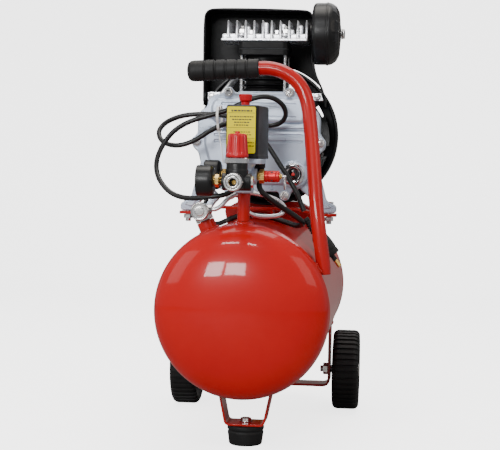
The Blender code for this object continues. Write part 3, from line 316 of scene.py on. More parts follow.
def revolve(name, profile, finish_name, at=(0, 0, 0), axis="Z", steps=72, ring=False, shape=None, soft=0.5,
            **rest):
    """A profile of (radius, height) with softened corners, turned about an axis.

    shape(radius, height, angle) may return changed radii and heights, for knurls, lugs and flutes."""
    frame_of = AXES[axis] if isinstance(axis, str) else axis
    line = np.array(soften(profile, soft, 3, closed=ring) if soft else [tuple(p) for p in profile], float)
    angle = np.linspace(0, 2 * np.pi, steps, endpoint=False)[None, :]
    radius = np.repeat(line[:, :1], steps, axis=1)
    height = np.repeat(line[:, 1:2], steps, axis=1)
    if shape:
        radius, height = shape(radius, height, np.repeat(angle, len(line), axis=0))
    local = np.stack([radius * np.cos(angle), radius * np.sin(angle), height], axis=-1).reshape(-1, 3)
    points = local @ np.array(frame_of).T + np.array(at, float)
    faces = grid_faces(len(line), steps, wrap_rows=ring)
    if not ring:
        for row, r in ((0, line[0, 0]), (len(line) - 1, line[-1, 0])):
            if r > 1e-4:
                faces.append(list(range(row * steps, (row + 1) * steps)))
    return make(name, points, faces, finish_name, **rest)


def rod(name, radius, low, high, finish_name, at=(0, 0, 0), axis="Z", steps=40, edge=0.4, **rest):
    """A round bar, or a hexagon with six steps, with rounded ends."""
    profile = [(0, low), (radius, low), (radius, high), (0, high)]
    if steps < 9:
        b = edge
        profile = [(0, low), (radius - b, low), (radius, low + b * 0.6), (radius, high - b * 0.6),
                   (radius - b, high), (0, high)]
        return revolve(name, profile, finish_name, at, axis, steps, soft=0, smooth=20, **rest)
    return revolve(name, profile, finish_name, at, axis, steps, soft=edge, **rest)


def inset(line, distance):
    """A closed outline moved inward, point by point, along the mean of its two edge normals."""
    table = np.array([tuple(p) for p in line], float)
    ahead = np.roll(table, -1, axis=0) - table
    area = np.sum(table[:, 0] * np.roll(table[:, 1], -1) - np.roll(table[:, 0], -1) * table[:, 1])
    ahead /= np.maximum(np.linalg.norm(ahead, axis=1, keepdims=True), 1e-9)
    normal = np.stack([-ahead[:, 1], ahead[:, 0]], axis=1) * (1 if area > 0 else -1)
    mean = normal + np.roll(normal, 1, axis=0)
    mean /= np.maximum(np.linalg.norm(mean, axis=1, keepdims=True), 1e-9)
    lean = np.maximum(np.sum(mean * normal, axis=1, keepdims=True), 0.45)
    return table + mean * distance / lean


def plate(name, outline, low, high, finish_name, axis="Y", edge=0.8, corner=0.0, edge_steps=3, draft=0.0,
          **rest):
    """An outline pushed along an axis, its corners softened and both its rims rounded over."""
    line = soften(outline, corner, 4, closed=True) if corner else outline
    start = []
    for k in range(edge_steps + 1):
        turn = math.pi / 2 * k / edge_steps
        start.append((low + edge * (1 - math.cos(turn)), edge * (1 - math.sin(turn))))
    end = [(high - (t - low), d + draft) for t, d in reversed(start)]
    rows = start + end if edge else [(low, 0.0), (high, draft)]
    order = {"Y": (0, 2, 1), "X": (2, 0, 1), "Z": (0, 1, 2)}[axis]
    points = []
    for t, d in rows:
        table = inset(line, d) if d else np.array([tuple(p) for p in line], float)
        block = np.concatenate([table, np.full((len(table), 1), t)], axis=1)
        points.append(block[:, order])
    count = len(points[0])
    faces = grid_faces(len(rows), count)
    faces.append(list(range(count)))
    faces.append(list(range((len(rows) - 1) * count, len(rows) * count)))
    obj = make(name, np.concatenate(points), faces, finish_name, **rest)
    even = obj.modifiers.new("flat_faces", "WEIGHTED_NORMAL")
    even.keep_sharp = True
    return obj


def along(direction):
    """The rotation that turns +Z to this direction."""
    return Vector((0, 0, 1)).rotation_difference(Vector(direction)).to_matrix()


def route_points(route, spacing):
    """Even points along a centripetal Catmull-Rom curve through the route's points."""
    line = [Vector(p) for p in route]
    line = [2 * line[0] - line[1]] + line + [2 * line[-1] - line[-2]]
    dense = []
    for p0, p1, p2, p3 in zip(line, line[1:], line[2:], line[3:]):
        knots = [0.0]
        for a, b in ((p0, p1), (p1, p2), (p2, p3)):
            knots.append(knots[-1] + math.sqrt((b - a).length))
        t0, t1, t2, t3 = knots
        for step in range(24):
            t = t1 + (t2 - t1) * step / 24
            a1 = p0.lerp(p1, (t - t0) / (t1 - t0))
            a2 = p1.lerp(p2, (t - t1) / (t2 - t1))
            a3 = p2.lerp(p3, (t - t2) / (t3 - t2))
            b1 = a1.lerp(a2, (t - t0) / (t2 - t0))
            b2 = a2.lerp(a3, (t - t1) / (t3 - t1))
            dense.append(b1.lerp(b2, (t - t1) / (t2 - t1)))
    dense.append(line[-2])
    table = np.array(dense)
    lengths = np.concatenate([[0.0], np.cumsum(np.linalg.norm(np.diff(table, axis=0), axis=1))])
    wanted = np.linspace(0.0, lengths[-1], max(8, int(lengths[-1] / spacing)))
    return np.stack([np.interp(wanted, lengths, table[:, k]) for k in range(3)], axis=1)


def sweep(name, route, radius, finish_name, spacing=3.0, steps=28, closed=False, line=None, **rest):
    """A circle carried along the route on frames that turn as little as they can. Its radius may vary."""
    line = route_points(route, spacing) if line is None else np.asarray(line, float)
    count = len(line)
    tangent = np.roll(line, -1, axis=0) - np.roll(line, 1, axis=0)
    if not closed:
        tangent[0], tangent[-1] = line[1] - line[0], line[-1] - line[-2]
    tangent /= np.linalg.norm(tangent, axis=1, keepdims=True)
    side = np.array(Vector(tangent[0]).orthogonal().normalized())
    angle = np.linspace(0, 2 * np.pi, steps, endpoint=False)
    points = []
    for k in range(count):
        side = side - tangent[k] * side.dot(tangent[k])
        side /= np.linalg.norm(side)
        other = np.cross(tangent[k], side)
        r = radius(k / (count - 1), angle) if callable(radius) else radius
        points.append(line[k] + (np.outer(np.cos(angle), side) + np.outer(np.sin(angle), other))
                      * np.reshape(r * np.ones(steps), (-1, 1)))
    faces = grid_faces(count, steps, wrap_rows=closed)
    if not closed:
        faces += [list(range(steps)), list(range((count - 1) * steps, count * steps))]
    return make(name, np.concatenate(points), faces, finish_name, **rest)


def strap(name, path, thick, low, high, finish_name, bend=4.0, edge=0.5, **rest):
    """A flat bar bent along a path in X and Z: the path is offset by half the thickness to each side."""
    line = np.array(soften([(*p, 0) for p in path], bend, 6))[:, :2]
    ahead = np.gradient(line, axis=0)
    ahead /= np.linalg.norm(ahead, axis=1, keepdims=True)
    normal = np.stack([-ahead[:, 1], ahead[:, 0]], axis=1)
    outline = np.concatenate([line + normal * thick / 2, (line - normal * thick / 2)[::-1]])
    return plate(name, outline, low, high, finish_name, edge=edge, edge_steps=2, **rest)


def shaped(base, others):
    """base cut by helpers, which are used up."""
    for other in others:
        step = base.modifiers.new("shape", "BOOLEAN")
        step.operation = "DIFFERENCE"
        step.solver = "EXACT"
        step.object = other
        base.modifiers.move(len(base.modifiers) - 1, 0)
        with_shape = base.copy()
        with_shape.data = base.data
        for extra in list(with_shape.modifiers)[1:]:
            with_shape.modifiers.remove(extra)
        bpy.context.scene.collection.objects.link(with_shape)
        bpy.context.view_layer.update()
        graph = bpy.context.evaluated_depsgraph_get()
        mesh = bpy.data.meshes.new_from_object(with_shape.evaluated_get(graph), depsgraph=graph)
        bpy.data.objects.remove(with_shape, do_unlink=True)
        base.modifiers.remove(step)
        base.data = mesh
        bpy.data.objects.remove(other, do_unlink=True)
    base.data.name = base.name
    base.data.set_sharp_from_angle(angle=math.radians(38))
    return base


def rounded_edges(obj, width, segments=3):
    """Rounds the sharp edges of a machined or cast piece and keeps its faces flat."""
    for extra in list(obj.modifiers):
        obj.modifiers.remove(extra)
    bevel = obj.modifiers.new("edges", "BEVEL")
    bevel.width = width * MM
    bevel.segments = segments
    bevel.limit_method = "ANGLE"
    bevel.angle_limit = math.radians(40)
    bevel.harden_normals = False
    bevel.use_clamp_overlap = True
    even = obj.modifiers.new("flat_faces", "WEIGHTED_NORMAL")
    even.keep_sharp = True
    return obj


def box_line(a0, b0, a1, b1):
    """A rectangle's outline from two opposite corners."""
    return [(a0, b0), (a1, b0), (a1, b1), (a0, b1)]


def mirrored(half):
    """A closed outline from its right half, listed from the bottom middle to the top middle."""
    return half + [(-x, z) for x, z in reversed(half) if abs(x) > 1e-6]


def slot_block(name, outline, low, high):
    """A helper solid for a cut, which rides on nothing."""
    return plate(name, outline, low, high, "steel", edge=0.0, body=None)


def filled_in(profile, spacing):
    """The profile with points added, so that none is much further than the spacing from the next."""
    dense = []
    for a, b in zip(profile, profile[1:]):
        for t in np.linspace(0, 1, max(1, int(math.dist(a, b) / spacing)), endpoint=False):
            dense.append((a[0] + (b[0] - a[0]) * t, a[1] + (b[1] - a[1]) * t))
    return dense + [profile[-1]]


# ---------------------------------------------------------------- view, light and cords

# The eye in metres, its turns in radians, and its focal length for a width of 500.
EYE = Vector((0.1963, -1.7687, 0.3895))
YAW, PITCH, ROLL, FOCAL = -0.110, -0.049, 0.018, 1299.0


def camera():
    """A camera from its eye point, yaw, pitch and roll, on a 36 mm sensor."""
    ahead = Vector((math.sin(YAW) * math.cos(PITCH), math.cos(YAW) * math.cos(PITCH), math.sin(PITCH)))
    right = Vector((math.cos(YAW), -math.sin(YAW), 0))
    up = right.cross(ahead)
    turned_right = right * math.cos(ROLL) + up * math.sin(ROLL)
    turned_up = up * math.cos(ROLL) - right * math.sin(ROLL)
    data = bpy.data.cameras.new("view")
    data.sensor_width = 36.0
    data.lens = 36.0 * FOCAL / 500.0
    data.clip_start, data.clip_end = 0.05, 20.0
    obj = bpy.data.objects.new("view", data)
    bpy.context.scene.collection.objects.link(obj)
    basis = Matrix((turned_right, turned_up, -ahead)).transposed()
    obj.matrix_world = Matrix.Translation(EYE) @ basis.to_4x4()
    bpy.context.scene.camera = obj


def soft_box(name, place, target, width, height, power, colour=(1, 1, 1)):
    """A rectangular lamp that faces its target."""
    data = bpy.data.lights.new(name, "AREA")
    data.shape = "RECTANGLE"
    data.size, data.size_y = width, height
    data.energy = power
    data.color = colour
    obj = bpy.data.objects.new(name, data)
    bpy.context.scene.collection.objects.link(obj)
    obj.location = place
    obj.rotation_mode = "QUATERNION"
    obj.rotation_quaternion = (Vector(target) - Vector(place)).to_track_quat("-Z", "Y")


def studio():
    """A sweep that is white to the eye and grey to reflections, a top light, two window panes and fills."""
    profile = np.array([(-2.6, 0.0)] + [(1.9 + 0.9 * math.sin(a), 0.9 - 0.9 * math.cos(a))
                                        for a in np.linspace(0, math.pi / 2, 24)] + [(2.8, 3.2)])
    columns = np.linspace(-3.2, 3.2, 2)
    points = [(x, y, z) for y, z in profile for x in columns]
    mesh = bpy.data.meshes.new("backdrop")
    mesh.from_pydata(points, [], grid_faces(len(profile), 2, wrap_columns=False))
    mesh.shade_smooth()
    floor = bpy.data.objects.new("backdrop", mesh)
    bpy.context.scene.collection.objects.link(floor)
    pale = bpy.data.materials.new("backdrop")
    pale.use_nodes = True
    tree = pale.node_tree
    shader = tree.nodes["Principled BSDF"]
    speck = noise(tree, 3.0, 4.0)
    paper = blend_colour(tree, speck, (0.86, 0.86, 0.86), (0.9, 0.9, 0.9))
    ray = add(tree, "ShaderNodeLightPath").outputs["Is Camera Ray"]
    tree.links.new(blend_colour(tree, ray, (0.26, 0.25, 0.24), paper), shader.inputs["Base Color"])
    glow = add(tree, "ShaderNodeMath", [(0, ray), (1, 2.9)], operation="MULTIPLY").outputs[0]
    shader.inputs["Emission Color"].default_value = (1, 1, 1, 1)
    tree.links.new(glow, shader.inputs["Emission Strength"])
    shader.inputs["Roughness"].default_value = 0.75
    mesh.materials.append(pale)
    world = bpy.context.scene.world or bpy.data.worlds.new("studio")
    bpy.context.scene.world = world
    world.use_nodes = True
    back = world.node_tree.nodes["Background"]
    back.inputs["Color"].default_value = (0.95, 0.96, 1.0, 1)
    seen = add(world.node_tree, "ShaderNodeLightPath").outputs["Is Camera Ray"]
    bright = remap(world.node_tree, seen, 0.0, 1.0, 0.5, 3.6)
    world.node_tree.links.new(bright, back.inputs["Strength"])
    soft_box("top", (0.0, 0.35, 2.3), (0, 0.05, 0.3), 1.6, 1.3, 34, (1.0, 0.96, 0.9))
    soft_box("window_a", (-0.86, -2.15, 1.02), (0, -0.1, 0.25), 0.46, 0.46, 21)
    soft_box("window_b", (-0.34, -2.27, 1.0), (0, -0.1, 0.25), 0.46, 0.38, 17)
    soft_box("tube_lamp", (-0.25, -1.35, 1.75), (0, -0.05, 0.3), 0.9, 0.1, 9)
    soft_box("right", (2.0, -0.9, 1.5), (0, 0.1, 0.35), 1.2, 1.2, 10, (1.0, 0.9, 0.78))
    soft_box("left", (-2.0, -0.9, 1.3), (0, 0.1, 0.35), 1.2, 1.2, 11, (1.0, 0.95, 0.9))
    soft_box("behind", (0.4, 2.2, 1.9), (0, 0.2, 0.3), 1.6, 1.0, 16)


POWER_ROUTE = [
    (-14, -45, 363.6), (-14, -45, 358), (-18, -46, 350), (-32, -48, 343.5), (-46, -47.5, 341.5),
    (-62, -44, 339.5), (-76, -40, 338.5), (-91, -34, 340), (-105, -26, 345), (-117, -16, 354),
    (-126, -6, 365), (-131, 4, 377), (-132, 13, 390), (-129, 21, 403), (-123, 28, 416), (-113, 33, 429),
    (-98, 37, 440), (-79, 39, 448), (-59, 40, 454), (-40, 41, 460), (-21, 41, 469), (-3, 42, 477),
    (13, 43, 480), (28, 46, 477), (39, 52, 468), (42, 60, 456), (36, 68, 446), (22, 72, 441), (0, 68, 441),
    (-23, 60, 443), (-44, 53, 441), (-64, 48, 431), (-79, 45, 421), (-95, 43, 413), (-110, 44, 410),
    (-124, 48, 412), (-135, 55, 419), (-139, 64, 430), (-133, 73, 441), (-120, 79, 449), (-103, 82, 454),
    (-75, 82, 456), (-46, 80, 454), (-14, 74, 441), (14, 63, 416), (35, 52, 387), (51, 44, 364),
    (64, 39, 341), (72, 37, 321.5),
]
LEAD_ROUTE = [
    (17, -45, 363.6), (17, -45, 358), (19.5, -45, 351), (28, -42, 342.5), (40, -33, 333), (52, -20, 324.5),
    (63, -4, 316), (71, 14, 308), (70, 31, 303), (61, 44, 301), (47, 53, 304.5), (32, 60, 308.5),
    (15, 68, 312), (-4, 76, 313), (-22, 84, 311), (-37, 97, 306.5), (-44, 115, 303.5), (-46, 140, 302.5),
    (-46, 170, 302.5), (-49, 200, 301.5), (-60, 226, 297.5), (-77, 246, 291), (-94, 262, 291),
    (-104, 280, 303), (-105, 302, 322), (-101, 319, 342), (-98, 328, 360), (-98, 330, 370),
    (-98, 330, 375.6),
]
DISCHARGE_ROUTE = [
    (-14, 216.4, 570.5), (-14, 220.4, 570.5), (-15, 226.5, 568), (-17.5, 230.5, 562), (-21.5, 231, 552),
    (-28, 228, 541), (-36.5, 220, 530), (-44.5, 208, 519), (-51, 195, 509), (-57.5, 182, 498),
    (-64.5, 172, 486), (-73, 165, 472), (-80.5, 161, 454), (-84, 160, 434), (-84, 160, 410), (-84, 160, 388),
    (-81, 157, 362), (-74, 148, 346), (-65, 131, 338), (-61, 108, 336), (-59.5, 75, 334), (-59.5, 40, 329),
    (-59.5, 12, 323.5), (-59.5, -6, 322), (-59.5, -23.6, 322),
]
UNLOADER_ROUTE = [
    (-45.7, -42, 324), (-41, -42, 324.6), (-34, -41, 329), (-26, -38, 338), (-14, -33, 345), (5, -25, 347),
    (27, -13, 342), (42, -8, 335), (49, -7, 326), (43, -8, 318), (27, -12, 315), (7, -18, 317),
    (-5, -22, 326), (-8, -25, 342), (-8, -29, 358), (-8, -31, 370), (-8, -31, 377.6),
]
HANDLE_ROUTE = [
    (106, -52, 242), (105.2, -52, 254), (102.4, -51.5, 274), (98.8, -50, 298), (95, -46.5, 324),
    (91, -38, 362), (86.5, -26.5, 404), (82, -15, 440), (79, -9.5, 460), (75, -6.5, 476), (67, -4.5, 492),
    (54, -3.5, 505), (38, -3.2, 513), (22, -3, 516.2), (9, -3, 516), (-20, -3, 514.5), (-50, -3, 512.9),
    (-82, -3, 511.3),
]


def cord_curve(name, route, radius):
    """A cord as a curve through even points of its route, with a round bevel and closed ends."""
    curve = bpy.data.curves.new(name, "CURVE")
    curve.dimensions = "3D"
    curve.bevel_depth = radius * MM
    curve.bevel_resolution = 6
    curve.use_fill_caps = True
    line = route_points(route, 4.0) * MM
    spline = curve.splines.new("POLY")
    spline.points.add(len(line) - 1)
    spline.points.foreach_set("co", np.concatenate([line, np.ones((len(line), 1))], axis=1).ravel())
    spline.use_smooth = True
    curve.materials.append(FINISHES["cord"])
    obj = bpy.data.objects.new(name, curve)
    bpy.context.scene.collection.objects.link(obj)
    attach(obj, "frame")
    return obj, float(np.sum(np.linalg.norm(np.diff(line, axis=0), axis=1))), tuple(line[0])


def cords():
    """The coiled mains cord down to its plug, and the lead to the motor."""
    obj, length, start = cord_curve("mains_cord", POWER_ROUTE, 3.5)
    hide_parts("power_cord")
    plug = power_plug()
    obj, length, start = cord_curve("motor_cord", LEAD_ROUTE, 3.75)
    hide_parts("motor_lead")


def power_plug():
    """A flat moulded plug: superellipse sections along a leaning axis, a ribbed relief, and two round pins."""
    axis, centre = Vector((0.6, 0, -0.8)), Vector((102.0, 36, 275.0))
    thin, wide = Vector((0.8, 0, 0.6)), Vector((0, 1, 0))
    rows = [(-46, 3.8, 3.8), (-45.6, 4.0, 4.0)]
    for k in range(6):
        t = -44 + 3.8 * k
        grow = 4.0 + 0.36 * k
        rows += [(t, grow + 0.3, grow + 0.3), (t + 2.0, grow + 0.5, grow + 0.5),
                 (t + 2.4, grow - 0.4, grow - 0.4), (t + 3.4, grow - 0.4, grow - 0.4)]
    rows += [(-20.5, 6.6, 7.2), (-18, 8.2, 9.6), (-15.5, 9.9, 13.2), (-12, 11.1, 16.0), (-6, 11.8, 17.8),
             (2, 12.0, 18.2), (9, 11.8, 18.0), (9.4, 11.2, 17.4), (10.6, 11.2, 17.4), (11, 11.8, 18.0),
             (16.4, 11.8, 18.0), (17.4, 11.4, 17.6), (18, 10.4, 16.6)]
    angle = np.linspace(0, 2 * np.pi, 64, endpoint=False)
    c, s = np.cos(angle), np.sin(angle)
    bulge = (np.abs(c) ** 2.8 + np.abs(s) ** 2.8) ** (-1 / 2.8)
    points = []
    for at, half_thin, half_wide in rows:
        middle = np.array(centre + axis * at)
        points.append(middle + np.outer(half_thin * c * bulge, thin) + np.outer(half_wide * s * bulge, wide))
    faces = grid_faces(len(rows), 64) + [list(range(64)), list(range((len(rows) - 1) * 64, len(rows) * 64))]
    plug = make("mains_plug", np.concatenate(points), faces, "rubber", node="power_plug", smooth=50)
    for k, shift in enumerate((-9.5, 9.5)):
        rod(f"plug_pin_{k + 1}", 2.4, 16, 36.5, "brass", centre + wide * shift, along(axis), 24, edge=1.2)
        rod(f"plug_sleeve_{k + 1}", 2.45, 16, 26, "rubber", centre + wide * shift, along(axis), 24, edge=0.2)
    return plug


TIE_X = -52.0


def cord_tie():
    """A white nylon tie round the four strands of the coil, with its head and a hanging tail."""
    line = route_points(POWER_ROUTE, 1.0)
    crossing = [p for a, p in zip(line, line[1:]) if (a[0] - TIE_X) * (p[0] - TIE_X) <= 0]
    spots = np.array([(y, z) for x, y, z in crossing if z > 400 and y > 0])
    centre = spots.mean(axis=0)
    angle = np.linspace(0, 2 * np.pi, 120, endpoint=False)
    reach = np.full(120, 5.0)
    for spot in spots:
        away = spot - centre
        push = away[0] * np.cos(angle) + away[1] * np.sin(angle)
        reach = np.maximum(reach, push)
    radius = reach + 4.1
    hull = np.stack([centre[0] + radius * np.cos(angle), centre[1] + radius * np.sin(angle)], axis=1)
    for _ in range(4):
        hull = (np.roll(hull, 1, axis=0) + 2 * hull + np.roll(hull, -1, axis=0)) / 4
    outline = np.concatenate([hull, hull[:1]])
    points, half, thick = [], 1.7, 0.55
    outward = hull - centre
    outward /= np.linalg.norm(outward, axis=1, keepdims=True)
    for x, lift in ((-half, 0), (half, 0), (half, thick), (-half, thick)):
        block = hull + outward * lift
        points.append(np.column_stack([np.full(len(block), TIE_X + x), block]))
    stacked = np.stack(points, axis=1).reshape(-1, 3)
    make("cord_tie", stacked, grid_faces(len(hull), 4, wrap_rows=True), "nylon", smooth=30)
    low_y, low_z = outline[90]
    head = [(-55, low_z - 3.6), (-49, low_z - 3.6), (-49, low_z + 1.2), (-55, low_z + 1.2)]
    plate("cord_tie_head", head, low_y - 2.6, low_y + 2.4, "nylon", corner=1.0, edge=0.5)
    tail = [(-51.5, low_y - 1, low_z - 3), (-50, low_y - 4, low_z - 12), (-47, low_y - 8, low_z - 24),
            (-45, low_y - 9, low_z - 37), (-44.4, low_y - 7, low_z - 46)]
    sweep("cord_tie_tail", tail, lambda t, a: 1.1 - 0.35 * np.abs(np.sin(a)) * 1.6, "nylon", 1.5, 12)


# ---------------------------------------------------------------- tank, frame and wheels


def dome_profile(radius, bead):
    """Half of a pressed tank from its front pole to its rear pole, with a weld bead at each seam."""
    turn = np.linspace(0, math.pi / 2, 26, endpoint=False)
    rows = [(radius * math.sin(a) ** 0.95 if a else 0.0,
             TANK_FRONT - DOME * math.cos(a) ** 0.9) for a in turn]
    for seam in (TANK_FRONT, TANK_REAR):
        for k in np.linspace(-3.0, 3.0, 9):
            rows.append((radius + bead * math.exp(-((k / 1.3) ** 2)), seam + k))
    rows += [(radius * math.sin(a) ** 0.95 if a else 0.0,
              TANK_REAR + DOME * math.cos(a) ** 0.9) for a in turn[::-1]]
    return rows


def weld_ring(name, centre, axis_direction, radius, size, seed):
    """A weld fillet round a pipe or boss: a lumpy closed tube, dropped onto the tank's round surface."""
    turn = along(axis_direction)
    angle = np.linspace(0, 2 * np.pi, 160, endpoint=False)
    local = np.stack([radius * np.cos(angle), radius * np.sin(angle), np.zeros(160)], axis=1)
    line = local @ np.array(turn).T + np.array(centre)
    flat = np.stack([line[:, 0], line[:, 2] - TANK_Z], axis=1)
    flat = flat / np.linalg.norm(flat, axis=1, keepdims=True) * (TANK_R + 0.5)
    line[:, 0], line[:, 2] = flat[:, 0], flat[:, 1] + TANK_Z
    lump = size * (1 + 0.12 * np.sin(angle * 22 + seed) + 0.06 * np.sin(angle * 9 + 2 * seed))
    bead = lambda t, a: lump[int(round(t * 159))]
    return sweep(name, None, bead, "red_frame", line=line, closed=True, steps=12)


def weld_line(name, route, size, seed, finish_name="red_frame"):
    """A straight weld fillet with a rippled surface."""
    line = route_points(route, 0.9)
    count = len(line)
    taper = lambda t: min(1.0, 0.3 + 8 * t, 0.3 + 8 * (1 - t))
    bead = lambda t, a: size * (1 + 0.16 * math.sin(t * count * 0.62 + seed)) * taper(t)
    return sweep(name, None, bead, finish_name, line=line, steps=10)


def tank():
    """The receiver with its seams, and its three sockets with their welds."""
    def dents(radius, height, angle):
        wave = 0.10 * np.sin(2 * angle + 0.8) + 0.05 * np.sin(3 * angle + height * 0.02)
        return radius + wave * np.minimum(radius / 60.0, 1.0), height

    revolve("receiver", dome_profile(TANK_R, 0.8), "red_paint", (0, 0, TANK_Z), "Y", 192, soft=0,
            shape=dents, node="air_tank", smooth=60, slot="red_paint")
    rod("riser_socket", 11, TANK_R - 4, TANK_R + 3, "red_frame", (POST_X, POST_Y, TANK_Z), "Z", 64, edge=1.0)
    rod("check_socket", 12, 114, 135, "red_frame", CHECK_FOOT, along(CHECK_LEAN), 64, edge=1.0)
    rod("drain_socket", 11, 59, 80, "red_frame", (0, DRAIN_Y, 0), "Z", 64, edge=1.0)
    weld_ring("riser_weld", (POST_X, POST_Y, 307), (0, 0, 1), 11.6, 1.9, 0.4)
    weld_ring("check_weld", CHECK_LEAN * 121.4 + Vector(CHECK_FOOT), CHECK_LEAN, 12.7, 2.1, 1.3)
    weld_ring("drain_weld", (0, DRAIN_Y, TANK_Z - TANK_R), (0, 0, 1), 11.6, 1.9, 2.2)
    seam = [(6, y, TANK_Z - TANK_R + 0.1) for y in (TANK_FRONT + 4, 20, 120, 240, TANK_REAR - 4)]
    weld_line("long_seam", seam, 1.5, 0.7, "red_paint")


def foot_and_axle():
    """The bent strap over the rubber foot with its bolt, and the bar that carries the axle bolts."""
    path = [(-37.6, 85.0), (-26, 28.9), (26, 28.9), (37.6, 85.0)]
    strap("foot_strap", path, 3.0, -20, 20, "red_frame", bend=6.0, node="front_foot_bracket",
          slot="red_paint")
    for sign in (-1, 1):
        x = sign * 39.2
        side = [(x, y, TANK_Z - math.sqrt(TANK_R ** 2 - x * x) - 0.4) for y in (-19, 0, 19)]
        weld_line(f"foot_side_weld_{'lr'[sign > 0]}", side, 2.0, sign * 2.0)
    profile = [(0, 0.6), (4, 0), (21.6, 0), (22.9, 1.4), (24.6, 14.5), (25.0, 17.5), (24.3, 18.4),
               (24.3, 20.6), (25.5, 21.5), (25.5, 25.4), (24.2, 27), (8, 27), (0, 26.9)]
    revolve("rubber_foot", profile, "rubber", steps=128, soft=0.7, node="front_foot", slot="tyre")
    rod("foot_bolt_head", 7.5, 32.0, 36.0, "zinc", steps=6, node="front_foot_bolt")
    rod("foot_washer", 8.6, 30.7, 32.0, "zinc", steps=48, edge=0.3)

    leg, low = 100.5, 38.0
    strap("axle_bar", [(-leg, 133.5), (-leg, low), (leg, low), (leg, 133.5)], 4.0, AXLE_Y - 18, AXLE_Y + 18,
          "red_frame", bend=11.0, edge=0.7, node="axle_strap", slot="red_paint")
    for sign in (-1, 1):
        side = [(sign * 103.0, y, 136.0) for y in (AXLE_Y - 17, AXLE_Y, AXLE_Y + 17)]
        weld_line(f"axle_weld_{'lr'[sign > 0]}", side, 2.3, sign * 3.0)


def wheels():
    """Moulded wheels: a tread of straight ribs across it, a stepped rim, six spokes and a hub."""
    half = 20.5
    profile = [(6.6, -17), (14, -17), (14, -9), (17, -7), (42, -7), (46.5, -15), (49, -half + 1.2),
               (52, -half), (56.5, -half), (59.5, -half + 1.6), (61.4, -half + 4), (62.3, -half + 7)]
    profile += [(62.4, z) for z in np.linspace(-12, 12, 17)]
    profile += [(r, -z) for r, z in reversed(profile[:12])]

    def lugs(radius, height, angle):
        near_rim = np.clip((radius - 55.0) / 4.0, 0, 1)
        gap = np.clip((np.cos(angle * 42) - 0.05) / 0.35, 0, 1)
        radius = radius - near_rim * 2.4 * gap
        web = (radius > 15.5) & (radius < 43) & (np.abs(height) < 9)
        spoke = np.clip((np.cos(angle * 6) - 0.72) / 0.12, 0, 1)
        return radius, np.where(web, height * (1.0 + 0.62 * spoke), height)

    for side, sign in (("left", -1), ("right", 1)):
        centre = (sign * WHEEL_X, AXLE_Y, AXLE_Z)
        revolve(f"tyre_{side}", profile, "rubber", centre, "X", 504, ring=True, shape=lugs, soft=0.6,
                body=f"wheel_{side}", node=f"wheel_{side}", smooth=34, slot="tyre")
        turn = AXES["X"] @ Matrix.Scale(sign, 3, (0, 0, 1))
        rod(f"hub_washer_{side}", 11.5, 17.1, 18.2, "zinc", centre, turn, 64, edge=0.3)
        rod(f"hub_bolt_{side}", 9.8, 18.2, 20.9, "zinc", centre, turn, 6, edge=0.9, node=f"axle_bolt_{side}")
        rod(f"hub_shank_{side}", 6.0, -24, 19, "steel", centre, turn, 40, edge=0.2)
        rod(f"hub_nut_{side}", 9.4, -36.6, -28.9, "zinc", centre, turn, 6, edge=0.9)
        rod(f"hub_thread_{side}", 4.9, -41, -22, "steel", centre, turn, 40, edge=0.5)


def handle():
    """The bent tube with its welded foot, and the ribbed grip with five rings and fine ribs between them."""
    tube = sweep("handle_bar", HANDLE_ROUTE, 9.6, "red_frame", 2.2, 56, node="handle_tube", slot="red_paint")
    profile = [(0, TANK_FRONT - 60), (TANK_R - 1, TANK_FRONT - 60), (TANK_R - 1, TANK_REAR), (0, TANK_REAR)]
    shaped(tube, [revolve("cutter", profile, "steel", (0, 0, TANK_Z), "Y", 256, soft=0, body=None)])
    rod("handle_foot", 9.4, -0.6, 1.2, "red_frame", (106, -52, 242), along((-0.066, 0, 1)), 48, edge=0.8)
    seam = [(96.5, -62.5, 254.8), (96.0, -52, 256.2), (96.5, -41.5, 254.8)]
    weld_line("handle_weld", seam, 2.4, 0.9)
    for k, y in enumerate((-62.4, -41.6)):
        side = [(96.8, y, 254.4), (100.4, y, 249.6), (104.4, y, 243.2)]
        weld_line(f"handle_side_weld_{k + 1}", side, 1.9, 1.0 + k)
    direction = Vector((-1, 0, -0.0516)).normalized()
    rows = [(9.7, 0), (12.4, 0), (13.0, 0.8)]
    for k in range(5):
        at, reach = 14.5 + 14.5 * k, 13.1 + 0.34 * k
        rows += [(reach, at), (reach - 1.3, at + 0.9), (reach - 1.3, at + 2.5), (reach + 0.1, at + 3.4)]
    rows += [(14.5, 88), (13.8, 93.2), (11.2, 96.6), (6.5, 98.3), (0, 98.8)]
    dense = filled_in(soften(rows, 0.5, 3), 0.8)

    def ribs(radius, height, angle):
        full = np.clip((radius - 12.2) / 0.7, 0, 1) * (height < 86)
        rib = np.clip(np.sin(height * 2.9), 0, 1) * 0.28
        return radius - full * rib, height

    revolve("grip", dense, "rubber", (10, -3, 516.1), along(direction), 96, soft=0, shape=ribs,
            node="handle_grip", smooth=60, slot="tyre")


